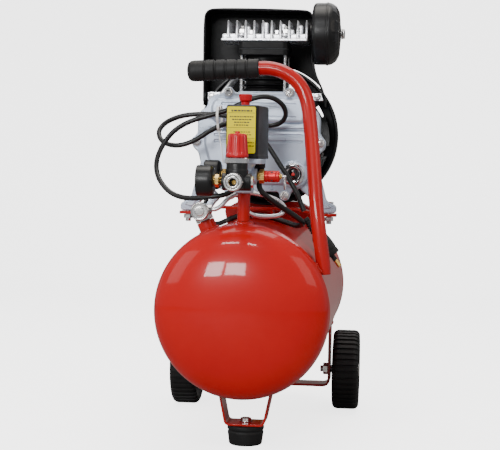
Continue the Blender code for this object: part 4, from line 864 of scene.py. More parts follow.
def saddles():
    """The front bar on its pedestal, with the pump's feet bolted to it, and the bracket under the motor."""
    path = [(-114, 313.6), (-87, 314), (-57, 321.9), (57, 321.9), (87, 314), (114, 313.6)]
    strap("front_bar", path, 4.0, 100, 130, "red_frame", bend=7.0, node="front_saddle", slot="red_paint")
    pedestal = [(-23.5, 303.5), (-20, 320), (20, 320), (23.5, 303.5)]
    strap("front_pedestal", pedestal, 3.2, 101, 129, "red_frame", bend=3.0)
    for sign, side in ((-1, "l"), (1, "r")):
        route = [(sign * 24.8, 101, 303.3), (sign * 24.8, 115, 303.2), (sign * 24.8, 129, 303.3)]
        weld_line(f"pedestal_weld_{side}", route, 1.9, sign * 1.5)
        at = (sign * 103, 115, 0)
        rod(f"foot_pad_{side}", 8.8, 326.2, 328.0, "zinc", at, steps=48, edge=0.3)
        rod(f"foot_hex_{side}", 6.6, 328.0, 333.0, "zinc", at, steps=6)
        rod(f"foot_nut_{side}", 6.6, 305.0, 310.8, "zinc", at, steps=6)
        rod(f"foot_stud_{side}", 3.9, 300.5, 331, "steel", at, steps=32)
    outline = [(-66, 284), (66, 284), (72, 313), (48, 326.6), (-48, 326.6), (-72, 313)]
    rear = plate("rear_bracket", outline, 285.2, 319.8, "red_frame", edge=1.2, corner=5.0,
                 node="rear_saddle", slot="red_paint")
    profile = [(0, 200), (TANK_R - 0.6, 200), (TANK_R - 0.6, TANK_REAR), (0, TANK_REAR)]
    shaped(rear, [revolve("cutter", profile, "steel", (0, 0, TANK_Z), "Y", 200, soft=0, body=None)])
    weld_line("rear_weld", [(x, 284.6, TANK_Z + math.sqrt(TANK_R ** 2 - x * x)) for x in range(-66, 67, 11)],
              2.0, 1.1)


# ---------------------------------------------------------------- pump


def hex_bolt(name, radius, low, high, at, axis="Y", turn=0.0, **rest):
    """A hexagon head between two heights along an axis, its top at the low one, with a washer behind it."""
    spin = AXES[axis] @ Matrix.Rotation(turn, 3, "Z")
    head_high = high - 1.2
    rod(name, radius, low, head_high, "zinc", at, spin, 6, edge=0.8, **rest)
    rod(name + "_dome", radius * 0.62, low - 0.25, low + 0.4, "zinc", at, spin, 32, edge=0.3)
    rod(name + "_washer", radius * 1.12, head_high, high, "zinc", at, spin, 48, edge=0.25)


FRONT_HALF = [
    (0, 346), (31, 346), (33, 337), (39, 333.5), (45, 337), (48, 346), (62, 352), (76, 366), (84, 386),
    (88, 402), (96, 409), (97, 417), (93, 425), (89, 430), (89, 452), (85, 462), (76, 467), (74, 478),
    (66, 485), (53, 487), (49, 494), (40, 494.5), (35, 488), (0, 488),
]
COVER_BOLTS = ((-90, 417), (90, 417), (-39.5, 341), (39.5, 341), (-44, 488.5), (44, 488.5))


def barrel_square():
    """The rounded square that the cylinder's flanges, the valve plate and the crankcase's seat share."""
    return soften(box_line(-BARREL_HALF, CYL_Y - BARREL_HALF, BARREL_HALF, CYL_Y + BARREL_HALF), 9, 6,
                  closed=True)


def crankcase():
    """The silver casting: front flange, ribbed body, arms down to the feet, cylinder seat and rear neck."""
    flange_line = soften(mirrored(FRONT_HALF), 4.0, 4, closed=True)
    plate("case_flange", flange_line, 106.2, 118, "cast", edge=1.2, node="crankcase", slot="cast")
    body = mirrored([(0, 349), (46, 349), (62, 362), (71, 380), (73, 402), (73, 452), (66, 470), (56, 480),
                     (0, 482)])
    plate("case_body", body, 116, 226, "cast", corner=7.0, edge=2.0)
    for k, y in enumerate((140, 162, 184, 206)):
        rib = mirrored([(0, 346.5), (47, 346.5), (64, 360.5), (73.5, 379), (75.5, 402), (75.5, 452),
                        (68, 472), (57, 482.5), (0, 484.0)])
        plate(f"case_rib_{k + 1}", rib, y - 1.6, y + 1.6, "cast", corner=7.0, edge=1.2, draft=0.4)
    for sign, side in ((-1, "l"), (1, "r")):
        arm = [(66, 392), (85, 388), (99, 334), (113.5, 327), (113.5, 316.6), (92.5, 316.6), (87, 328),
               (60, 351)]
        plate(f"case_arm_{side}", [(sign * x, z) for x, z in arm], 106.6, 127, "cast", corner=4.0, edge=1.6)
        web = [(70, 386), (81, 384), (95, 334), (108, 325), (96, 322), (88, 334)]
        plate(f"case_arm_rib_{side}", [(sign * x, z) for x, z in web], 104.2, 108, "cast", corner=3.0,
              edge=1.2)
    rod("case_neck", 62, 222, 233, "cast", (0, 0, SHAFT_Z), "Y", 96, edge=2.0)
    plate("case_seat", barrel_square(), 470, 492.6, "cast", axis="Z", edge=1.4)


def raised_panel(name, outline, corner, rows):
    """A cast panel that rises from the cover in steps, each an (inset, y) pair, with flat ends."""
    base = soften(outline, corner, 6, closed=True)
    points = []
    for depth, y in rows:
        table = inset(base, depth)
        points.append(np.column_stack([table[:, 0], np.full(len(table), y), table[:, 1]]))
    count = len(base)
    faces = grid_faces(len(rows), count) + [list(range((len(rows) - 1) * count, len(rows) * count)),
                                            list(range(count))]
    return make(name, np.concatenate(points), faces, "cast", smooth=60)


def grooved(panel, half, width, heights, depths, round_over):
    """The panel with a level groove at each height, its edges rounded."""
    corner = (width - 0.2) / 2
    cuts = [slot_block("groove", soften([(-half, z), (half, z), (half, z + width), (-half, z + width)],
                                        corner, 4, True),
                       *depths) for z in heights]
    shaped(panel, cuts)
    rounded_edges(panel, round_over, 2)


def cover():
    """The front cover: a stepped casting with two raised panels, their grooves, a sight glass and bolts."""
    line = soften(mirrored([(x - 0.4 if x else 0, z) for x, z in FRONT_HALF]), 4.0, 4, closed=True)
    plate("case_gasket", line, 105.2, 106.1, "gasket", edge=0.2)
    plate("case_cover", line, 97.8, 105.2, "cast", edge=1.6, node="crankcase_cover", slot="cast")
    lower = [(-78, 404), (-66, 372), (-50, 355), (50, 355), (66, 372), (78, 404), (80.5, 436), (-80.5, 436)]
    steps = [(0.0, 98.4), (0.8, 97.2), (2.2, 95.4), (3.6, 94.7), (5.6, 94.5)]
    grooved(raised_panel("cover_panel", lower, 11, steps), 64, 3.6, (416.5, 425.5), (90, 96.4), 0.6)
    upper = [(-67, 444), (67, 444), (71, 468), (63, 481), (-63, 481), (-71, 468)]
    steps = [(0.0, 98.4), (1.0, 96.0), (2.6, 93.0), (4.2, 92.1), (6.0, 91.9)]
    grooved(raised_panel("cover_upper", upper, 8, steps), 54, 2.8, (452.0, 470.5), (88, 93.4), 0.5)
    plate("cover_step", soften([(-72, 437), (72, 437), (70, 443), (-70, 443)], 2.4, 4, True), 94.0, 99,
          "cast", edge=1.6)
    rod("glass_boss", 20, 90.4, 98.5, "cast", GLASS, "Y", 72, edge=1.6)
    ring = [(8.2, 88.2), (9.4, 86.6), (12.6, 86.1), (15.4, 86.9), (16.6, 88.4), (16.6, 90.4), (8.2, 90.4)]
    revolve("glass_bezel", ring, "chrome", GLASS, "Y", 96, ring=True, soft=0.5)
    lens = [(0, 87.5), (5, 87.7), (8.3, 88.5), (8.3, 92), (0, 92)]
    revolve("sight_lens", lens, "oil_glass", GLASS, "Y", 72, node="sight_glass", slot="glass")
    revolve("sight_mark", [(0, 87.3), (2.3, 87.35), (2.3, 88), (0, 88)], "red_dot", GLASS, "Y", 48, soft=0.1)
    for k, (x, z) in enumerate(COVER_BOLTS):
        rod(f"bolt_boss_{k + 1}", 7.6, 96.6, 99, "cast", (x, 0, z), "Y", 40, edge=0.8)
        owner = {"node": f"cover_bolt_{k + 1}"} if k < 4 else {}
        hex_bolt(f"case_bolt_{k + 1}", 5.6, 91.6, 96.8, (x, 0, z), "Y", turn=0.3 * k, **owner)


def pump_top():
    """Cylinder with its fins, the valve plate between gaskets, the finned head, studs and nuts."""
    barrel = [(23.6, 492.9), (36, 492.9), (36, 496.6), (29.4, 498.2), (28.2, 500)]
    for k in range(5):
        z = 503.5 + 8.2 * k
        barrel += [(28.2, z - 2.2), (33.6, z - 0.9), (33.8, z + 0.9), (28.2, z + 2.2)]
    barrel += [(28.2, 543.5), (30, 546), (36, 549), (36, 554.4), (23.6, 554.4)]
    revolve("barrel", barrel, "black_paint", (0, CYL_Y, 0), "Z", 128, ring=True, soft=0.8, node="cylinder",
            slot="black_paint")
    square = barrel_square()
    plate("barrel_flange", square, 546.0, 554.8, "black_paint", axis="Z", edge=1.0)
    plate("low_gasket", inset(square, 0.4), 554.8, 555.6, "gasket", axis="Z", edge=0.1)
    plate("valve_block", square, 555.6, 566.0, "black_paint", axis="Z", edge=0.9, node="valve_plate",
          slot="black_paint")
    plate("high_gasket", inset(square, 0.4), 566.0, HEAD_LOW, "gasket", axis="Z", edge=0.1)
    base = soften(box_line(HEAD_LEFT, HEAD_FRONT, HEAD_RIGHT, HEAD_REAR), 3, 6, closed=True)
    plate("head_base", base, HEAD_LOW, HEAD_LOW + 3.6, "aluminium", axis="Z", edge=1.0, node="cylinder_head",
          slot="aluminium")
    block = soften(box_line(HEAD_LEFT + 0.4, 149.4, HEAD_RIGHT - 0.3, HEAD_REAR - 0.2), 4, 6, closed=True)
    plate("head_block", block, 569.8, 577.6, "aluminium", axis="Z", edge=1.6)
    for k in range(FINS):
        right = HEAD_RIGHT - k * (HEAD_RIGHT - HEAD_LEFT) / FINS
        outline = [(right - 0.2, 569.6), (right - 0.9, FIN_TOP - 2), (right - 1.4, FIN_TOP),
                   (right - 2.6, FIN_TOP), (right - 3.1, FIN_TOP - 2), (right - 4.2, 569.6)]
        plate(f"head_fin_{k + 1}", outline, HEAD_FRONT + 0.2, HEAD_REAR - 0.8, "aluminium", corner=0.8,
              edge=1.2)
    bosses = ((1, 5, 594), (27, 4.6, 592), (53, 4.4, 590), (-25, 4.4, 588), (40, 4.4, 584))
    for k, (x, half, top) in enumerate(bosses, 1):
        boss = soften(box_line(x - half, 151, x + half, 166), 2.4, 5, closed=True)
        plate(f"head_boss_{k}", boss, 576, top, "aluminium", axis="Z", edge=1.2)
    winding = lambda r, h, a: (r + (r > 2.2) * 0.22 * np.sin(h * 2 * np.pi / 1.25 - a), h)
    profile = [(0, 486)] + [(2.65, z) for z in np.arange(486.5, 588.2, 0.3)] + [(2.1, 588.8), (0, 588.8)]
    spots = [(x, y, 0) for x in (-32, 32) for y in (CYL_Y - 29, CYL_Y + 29)]
    for k, at in enumerate(spots, 1):
        revolve(f"stud_{k}", profile, "zinc", at, "Z", 20, soft=0, shape=winding, node=f"head_stud_{k}")
        rod(f"stud_nut_{k}", 6.4, 578.6, 583.8, "zinc", at, steps=6)
        rod(f"stud_washer_{k}", 6.9, 577.2, 578.5, "zinc", at, steps=48, edge=0.3)
        rod(f"stud_seat_{k}", 7.4, 574, 577.2, "aluminium", at, steps=48, edge=0.4)
    for k, x in enumerate((-19, 19)):
        rod(f"head_screw_{k + 1}", 4.0, 577, 583, "zinc", (x, 152, 0), steps=6)
        rod(f"head_screw_washer_{k + 1}", 4.8, 576.6, 577.6, "zinc", (x, 152, 0), steps=40, edge=0.2)


def air_filter():
    """The intake drum: a dished back, a rolled seam, a domed cover with ribs, and the wing nut."""
    centre = FILTER_AT
    middle = FILTER_AT[1]
    base = [(9, 66), (13, 66), (13, 70.2), (36, 70.4), (42, 71.6), (45.2, 74), (46, 77), (46, 91.2),
            (45.2, 92.4), (43.5, 92.4), (43.5, 76), (40, 73.4), (9, 73)]
    revolve("filter_drum", base, "black_plastic", centre, "X", 160, ring=True, soft=1.0, node="filter_base",
            slot="black_plastic")
    lid = [(4.2, 112.2), (13, 112.0), (15, 110.6), (22, 110.2), (24, 111.0), (33, 109.2), (40.5, 105.2),
           (44.6, 100.0), (46, 96.4), (46, 93.0), (43.2, 93.0), (43.2, 96.6), (38, 102.8), (22, 107.8),
           (4.2, 109.2)]

    def ribs(radius, height, angle):
        band = (radius > 26) & (radius < 44) & (height > 99.0)
        return radius, height + band * 0.55 * np.clip(np.cos(angle * 16) * 3 - 1.6, 0, 1)

    revolve("filter_lid", lid, "black_plastic", centre, "X", 384, ring=True, soft=1.0, shape=ribs,
            node="filter_cover", slot="black_plastic")
    clip = [(46.2, 91.0), (47.0, 91.6), (47.0, 93.6), (46.2, 94.2), (45.6, 92.6)]
    revolve("filter_seam", clip, "black_plastic", centre, "X", 160, ring=True, soft=0.4)
    rod("filter_screw", 3.1, 76, 118.6, "zinc", centre, "X", 32, edge=0.5, body="wing_nut")
    revolve("filter_nut", [(0, 112.9), (7.6, 112.9), (8.0, 113.4), (6.4, 117.4), (5.2, 118.4), (0, 118.4)],
            "zinc", centre, "X", 64, body="wing_nut", node="filter_wing_nut", slot="zinc")
    for k, sign in enumerate((-1, 1)):
        wing = [(4, 576.2), (12.6, 574.6), (14.0, 580), (14.0, 585), (12, 588), (4, 585.6)]
        wing = [(middle + sign * out, z) for out, z in wing]
        plate(f"filter_wing_{k + 1}", wing, 114.6, 118.0, "zinc", axis="X", corner=2.2, edge=1.2,
              body="wing_nut")


def hood():
    """The sheet cowl with a rolled lip, the silver bar inside its mouth, and its screws."""
    outer = soften([(-96, 474), (90, 474), (91, 486), (69.3, 533), (69.3, 618), (-96, 620)],
                   [0, 0, 8, 14, 14, 16], 8, closed=True)
    cowl = plate("cowl", outer, 196, 256, "black_paint", edge=1.0, edge_steps=3, node="hood",
                 slot="black_paint")
    inner = soften([(-94.4, 466), (88.4, 466), (89.2, 486), (67.7, 532.6), (67.7, 616.4), (-94.4, 618.4)],
                   [0, 0, 8, 13, 13, 15], 8, closed=True)
    ring = [(0, 233.4), (109.6, 233.4), (109.6, 280), (0, 280)]
    shaped(cowl, [slot_block("inner", inner, 180, 254.2),
                  revolve("ring", ring, "steel", (0, 0, 430), "Y", 160, soft=0, body=None)])
    rounded_edges(cowl, 0.5, 2)
    lip = [(-95.3, 480)] + [(x, z) for x, z in soften(
        [(-95.3, 480), (-95.3, 619.2), (68.6, 617.2), (68.6, 533), (90.2, 487), (90.2, 480)],
        [0, 15, 13, 13, 8, 0], 8)][1:]
    sweep("cowl_lip", [(x, 196.4, z) for x, z in lip[::2]], 1.15, "lip_black", 3.0, 14)
    plate("mouth_bar", [(-92.5, 483), (86.5, 483), (82.4, 495), (-92.5, 495)], 216.2, 220.6, "aluminium",
          corner=1.0, edge=0.8, node="hood_bar", slot="aluminium")
    for k, x in enumerate((-85, 77)):
        hex_bolt(f"bar_bolt_{k + 1}", 4.6, 211.8, 216.2, (x, 0, 489), "Y")
    for k, (x, z) in enumerate(((-70, 604), (48, 602), (-70, 560))):
        rod(f"cowl_screw_{k + 1}", 3.6, 255.6, 257.4, "zinc", (x, 0, z), "Y", 32, edge=0.6)


def fan_and_motor():
    """Fan shroud, fan, the finned motor drum with its vented bell, its shaft, foot and capacitor box."""
    ring = [(104.0, 234.2), (108, 234.2), (108, 265.6), (104.6, 267.8), (90, 268.4), (90, 265.8),
            (102.4, 264.6), (104.0, 262)]
    revolve("shroud", ring, "black_plastic", (0, 0, 430), "Y", 160, ring=True, soft=1.0, node="fan_shroud",
            slot="black_plastic")
    for k in range(9):
        points = []
        for r in np.linspace(28, 95, 12):
            for side in np.linspace(-1, 1, 7):
                sweep_angle = 2 * math.pi * k / 9 + 0.16 * (r - 28) / 67 + side * (0.13 + 0.002 * (r - 28))
                y = 249.2 + side * 7.4
                points.append((r * math.cos(sweep_angle), y, SHAFT_Z + r * math.sin(sweep_angle)))
        front = np.array(points)
        back = front + np.array([0, 1.7, 0])
        shell = np.concatenate([front.reshape(12, 7, 3), back.reshape(12, 7, 3)[:, ::-1]], axis=1)
        faces = grid_faces(12, 14) + [list(range(14)), list(range(11 * 14, 12 * 14))]
        make(f"fan_blade_{k + 1}", shell.reshape(-1, 3), faces, "black_plastic", body="shaft", smooth=50)
    revolve("fan_hub", [(11.6, 240.8), (27, 240.8), (30, 243), (30, 257.6), (11.6, 257.6)], "black_plastic",
            (0, 0, SHAFT_Z), "Y", 96, ring=True, soft=1.0, body="shaft", node="cooling_fan",
            slot="black_plastic")

    def fins(radius, height, angle):
        flat = (height > 270.5) & (height < 382.5) & (radius > 78)
        return radius - flat * 4.4 * np.clip(0.5 - 1.4 * np.cos(angle * 44), 0, 1), height

    drum = [(76, 269.2), (84.4, 269.2)] + [(85, y) for y in np.linspace(270, 383, 24)]
    drum += [(83.4, 384.2), (76, 384.2)]
    revolve("motor_drum", drum, "black_paint", (0, 0, SHAFT_Z), "Y", 528, ring=True, soft=0, shape=fins,
            node="motor_housing", slot="black_paint", smooth=34)
    bell = [(79, 383.6), (81.4, 384.4), (81.4, 386), (77, 393.4), (70, 396.6), (24, 398.6), (20, 399),
            (0, 399)]
    end = revolve("motor_bell", bell + [(0, 392), (66, 390)], "black_paint", (0, 0, SHAFT_Z), "Y", 128,
                  soft=1.2, ring=True)
    cuts = []
    for k in range(24):
        a = 2 * math.pi * k / 24
        c, s = math.cos(a), math.sin(a)
        line = [(r * c - w * s, SHAFT_Z + r * s + w * c) for r,
                w in ((34, -2.4), (64, -3.4), (64, 3.4), (34, 2.4))]
        cuts.append(slot_block("vent", soften(line, 2.2, 4, True), 380, 410))
    shaped(end, cuts)
    for k in range(3):
        a = 2 * math.pi * k / 3 + 0.4
        at = (74.5 * math.cos(a), 0, SHAFT_Z + 74.5 * math.sin(a))
        rod(f"bell_screw_{k + 1}", 3.6, 392.5, 397.4, "zinc", at, "Y", 6)
    # A black disc behind the vents: painted shade that stands for the dark inside of the motor.
    inner = [(0, 386.4), (64, 386.4), (64, 388.4), (0, 388.4)]
    revolve("bell_dark", inner, "black_plastic", (0, 0, SHAFT_Z), "Y", 64)
    foot = [(-46, 327.6), (46, 327.6), (44, 352), (-44, 352)]
    plate("motor_foot", foot, 287, 318, "black_paint", corner=2.0, edge=1.2)
    for k, x in enumerate((-38, 38)):
        hex_bolt(f"motor_bolt_{k + 1}", 4.8, 281.6, 287, (x, 0, 337), "Y")
    plate("box_bracket", soften(box_line(-88.6, 405, -78, 450), 2, 4, True), 297, 358, "black_paint",
          edge=0.8)
    box = soften([(-113.6, 400.4), (-88.4, 400.4), (-88.4, 457.6), (-113.6, 457.6)], 5, 6, closed=True)
    plate("capacitor_case", box, 289, 367.4, "black_plastic", edge=2.4, edge_steps=5, node="capacitor_box",
          slot="black_plastic")
    plate("capacitor_seam", inset(box, -0.35), 300.0, 301.4, "black_plastic", edge=0.3)
    rows = [(9, 401.5), (9, 397)] + [(7.4 - 0.16 * k + (0.5 if k % 2 else -0.3),
                                      395.6 - 1.2 * k) for k in range(16)]
    rows += [(4.4, 376.4), (0, 376.2)]
    revolve("box_gland", [(0, 401.5)] + rows, "rubber", (-98, 330, 0), "Z", 48, soft=0.2)
    shaft = [(0, 190.4), (31, 190.4), (32, 191.4), (32, 201), (31, 202), (12, 202), (12, 262), (13, 263),
             (13, 284), (41, 284), (42, 285), (42, 351), (41, 352), (10, 352), (10, 392), (9, 393), (0, 393)]
    revolve("rotor_shaft", shaft, "steel", (0, 0, SHAFT_Z), "Y", 96, body="shaft", node="motor_shaft",
            slot="steel")
    rod("crank_pin", 8, 187.2, 194, "steel", (0, 0, SHAFT_Z + 22), "Y", 48, body="shaft")


def running_parts():
    """Piston with its rings and a rod with an I-shaped neck, inside the crankcase."""
    crown = [(0, 546), (22.2, 546), (22.7, 545.4), (22.7, 542.5), (21.3, 542.3), (21.3, 540.7),
             (22.7, 540.5), (22.7, 537.5), (21.3, 537.3), (21.3, 535.7), (22.7, 535.5), (22.7, 519),
             (22, 518), (17, 518), (17, 538), (0, 540)]
    revolve("piston_crown", crown, "aluminium", (0, CYL_Y, 0), "Z", 96, soft=0.15, body="piston_rod",
            node="piston", slot="aluminium")
    rod("gudgeon_pin", 6, CYL_Y - 18, CYL_Y + 18, "steel", (0, 0, 527), "Y", 40, body="piston_rod")
    rod("rod_big_end", 14.5, 170.5, 185.5, "aluminium", (0, 0, SHAFT_Z + 22), "Y", 72, edge=1.0,
        body="piston_rod", node="connecting_rod", slot="aluminium")
    neck = [(-8.5, 455), (8.5, 455), (6.2, 521), (-6.2, 521)]
    plate("rod_neck", neck, 174, 182, "aluminium", corner=1.5, edge=1.2, body="piston_rod")
    rod("rod_small_end", 9.6, 171, 185, "aluminium", (0, 0, 527), "Y", 48, edge=0.8, body="piston_rod")
    rod("rod_dipper", 2.2, 416, 436, "aluminium", (0, CYL_Y, 0), steps=24, body="piston_rod")


# ---------------------------------------------------------------- controls


def switch():
    """Riser, cast base with its cross of ports, cord glands, the cover with its label, and the button."""
    rod("riser", 8.3, 310.3, 347, "red_frame", (POST_X, POST_Y, 0), steps=64, edge=0.4, node="switch_post",
        slot="red_paint")
    base = soften(box_line(-24.5, -95, 24.5, -29), 6, 6, closed=True)
    plate("switch_plate", base, 386, 392.6, "cast", axis="Z", edge=1.2, node="switch_base", slot="cast")
    hub = [(0, 347.3), (11.5, 347.3), (13, 348.8), (13, 355), (12.2, 356), (12.2, 380), (15.5, 386.2),
           (0, 386.2)]
    revolve("switch_hub", hub, "cast", (POST_X, POST_Y, 0), "Z", 96, soft=1.0)
    rod("hub_front", 10, -88, -62, "cast", (POST_X, 0, PORT_Z), "Y", 64, edge=0.9)
    rod("hub_sides", 10, -17, 17, "cast", (POST_X, POST_Y, PORT_Z), "X", 64, edge=0.9)
    rod("unloader_port", 4.6, 378.2, 387, "brass", (-8, -31, 0), steps=6)
    for k, x in enumerate((-14, 17)):
        rows = [(0, 387), (8.0, 387), (8.0, 381.4), (7.0, 380.6)]
        for step in range(10):
            z, r = 379.6 - 1.5 * step, 6.3 - 0.19 * step
            rows += [(r + 0.45, z), (r + 0.45, z - 0.8), (r - 0.4, z - 0.9), (r - 0.4, z - 1.4)]
        rows += [(3.9, 364.3), (0, 364.2)]
        revolve(f"cord_gland_{k + 1}", rows, "rubber", (x, -45, 0), "Z", 56, soft=0.15)

    outline = soften([(-21.5, -97), (19.5, -97), (28, -32), (-30, -32)], 5, 8, closed=True)
    plate("switch_case", outline, 392.9, 462.3, "black_plastic", axis="Z", edge=3.2, edge_steps=6,
          node="switch_cover", slot="black_plastic")
    plate("switch_foot_rim", inset(outline, -0.5), 393.2, 397.6, "black_plastic", axis="Z", edge=0.5)
    rim = [(5.9, 461.8), (10.2, 461.8), (10.2, 462.9), (9.6, 463.4), (6.6, 463.4), (5.9, 462.9)]
    revolve("button_collar", rim, "black_plastic", (POST_X, POST_Y, 0), "Z", 64, ring=True, soft=0.3)
    knob = [(0, 477.5), (7.8, 477.5), (8.8, 476.8), (8.8, 475.4), (8.1, 470.4), (7.7, 468.6), (5.6, 467.7),
            (5.6, 446), (0, 446)]
    flute = lambda r, h, a: (r - ((r > 7) & (h < 475.6)) * 0.4 * np.clip(np.cos(a * 18), 0, 1), h)
    revolve("stop_button", knob, "red_plastic", (POST_X, POST_Y, 0), "Z", 144, soft=0.7, shape=flute,
            body="button", node="switch_button", slot="red_plastic")
    plate("label", soften(box_line(-20.6, 399.6, 16.6, 459.8), 2.6, 5, True), -97.35, -96.6, "label",
          edge=0.12)
    for k, z in enumerate((451.6, 432.6, 419.0)):
        plate(f"label_rule_{k + 1}", box_line(-19.6, z, 15.6, z + 0.45), -97.46, -97.2, "print", edge=0.03)
    rows = ((455.6, 3.0, -15, 27), (447.6, 2.2, -17, 31), (444.0, 2.2, -14, 25), (440.4, 2.2, -11.5, 20),
            (436.8, 2.2, -11.5, 20), (427.8, 1.6, -12, 22), (424.2, 1.6, -14, 25), (414.0, 1.6, 6, 9),
            (409.8, 1.6, 6, 9))
    k = 0
    for row, (z, tall, start, width) in enumerate(rows):
        x, step = float(start), 0
        while x < start + width - 1:
            piece = (1.6 + 1.7 * ((row * 5 + step * 3) % 4) / 3) * (1.35 if row == 0 else 1.0)
            k += 1
            bar = box_line(x, z - tall * 0.72, min(x + piece, start + width), z)
            plate(f"label_line_{k}", bar, -97.44, -97.2, "print", edge=0.03)
            x += piece + 0.8
            step += 1


def thread(radius, low, high, pitch=1.4, depth=0.4):
    """A profile for a threaded stub, and the shape function that winds its ridge."""
    rows = [(0, low)] + [(radius, t) for t in np.arange(low + 0.3, high - 0.2, pitch / 6)] + [(0, high)]
    wind = lambda r, h, a: (r - (r > radius * 0.9) * depth * (0.5 + 0.5 * np.sin(2 * np.pi * h / pitch - a)),
                            h)
    return rows, wind


def regulator():
    """Regulator body with its ports, hexagon collar, fluted knob, threaded nipple, and the quick coupler."""
    at = (REG_X, REG_Y, 0)
    body = [(0, 353), (10.5, 353), (12.5, 354.4), (14.2, 358.5), (14.5, 361), (14.5, 378), (13.6, 379.2),
            (13.6, 386.6), (0, 386.6)]
    revolve("reg_body", body, "black_plastic", at, "Z", 96, soft=1.0, node="regulator_body",
            slot="black_plastic")
    rod("reg_ports", 11, -18.5, 18.5, "black_plastic", (REG_X, REG_Y, OUT_Z), "X", 72, edge=1.0)
    rod("reg_front", 11.5, -17.5, 0, "black_plastic", (REG_X, REG_Y, OUT_Z), "Y", 72, edge=1.0)
    rod("reg_plug", 7.2, 18.4, 21.4, "zinc", (REG_X, REG_Y, OUT_Z), "X", 6)
    rod("reg_collar", 16.2, 386.4, 393.6, "zinc", at, AXES["Z"] @ Matrix.Rotation(0.42, 3, "Z"), 6, edge=1.2)
    rows, wind = thread(6.6, 0.0, 42.5)
    revolve("reg_nipple", rows, "zinc", (REG_X, REG_Y, PORT_Z), "Y", 48, soft=0, shape=wind)
    turn = AXES["Y"] @ Matrix.Rotation(0.26, 3, "Z")
    rod("nipple_nut", 10.5, 20, 29, "zinc", (REG_X, REG_Y, PORT_Z), turn, 6, edge=1.0)
    rod("nipple_seat", 9.2, 37.5, 42.4, "zinc", (REG_X, REG_Y, PORT_Z), turn, 6, edge=0.8)
    knob = [(0, 394.2), (13.4, 394.2), (14.3, 395.4), (14.3, 397.4), (13.9, 400), (12.1, 421.6),
            (11.4, 423.4), (9.4, 424.2), (4.4, 424.4), (3.2, 425), (3.1, 427), (2.4, 427.4), (0, 427.4)]
    flutes = lambda r, h, a: (r - (r > 10.5) * np.clip((h - 397.6) / 1.5, 0,
                                                       1) * (h < 423.6) * 1.15 * np.clip(
        0.3 - 1.2 * np.cos(a * 14), 0, 1), h)
    revolve("pressure_knob", filled_in(knob, 1.2), "red_plastic", at, "Z", 280, soft=0, shape=flutes,
            body="knob", node="regulator_knob", slot="red_plastic", smooth=50)

    core = [(4.2, -148.8), (9.6, -148.8), (9.6, -155.4), (8.2, -156), (8.2, -176.3), (7.4, -177.4),
            (5.6, -177.4), (4.9, -176.6), (4.9, -160), (4.2, -158)]
    revolve("coupler_core", core, "zinc", (REG_X, 0, OUT_Z), "Y", 96, ring=True, soft=0.4,
            node="coupler_body", slot="zinc")
    rod("coupler_hex", 10.8, -155.2, -149.0, "zinc", (REG_X, 0, OUT_Z), "Y", 6, edge=0.8)
    revolve("coupler_seal", [(3.2, -165), (4.9, -165), (4.9, -163.4), (3.2, -163.4)], "rubber",
            (REG_X, 0, OUT_Z), "Y", 64, ring=True, soft=0.4)
    rod("coupler_valve", 4.2, -161.4, -159.6, "brass", (REG_X, 0, OUT_Z), "Y", 48, edge=0.6)
    sleeve = [(8.6, -162.6), (10.6, -162.6), (11.3, -163.4), (11.3, -167), (10.5, -167.8), (10.5, -169.2),
              (11.3, -170)] + [(11.3, y) for y in np.linspace(-170.2, -175.2, 11)] + [(10.5, -176.4), (8.6, -176.4)]
    knurl = lambda r, h, a: (r - (r > 11.1) * (h < -169.9) * 0.3 * np.clip(
        np.cos(a * 56 + h * 3.0) + np.cos(a * 56 - h * 3.0), 0, 1), h)
    revolve("coupler_ring", sleeve, "zinc", (REG_X, 0, OUT_Z), "Y", 448, ring=True, soft=0.3, shape=knurl,
            body="sleeve", node="coupler_sleeve", slot="zinc")


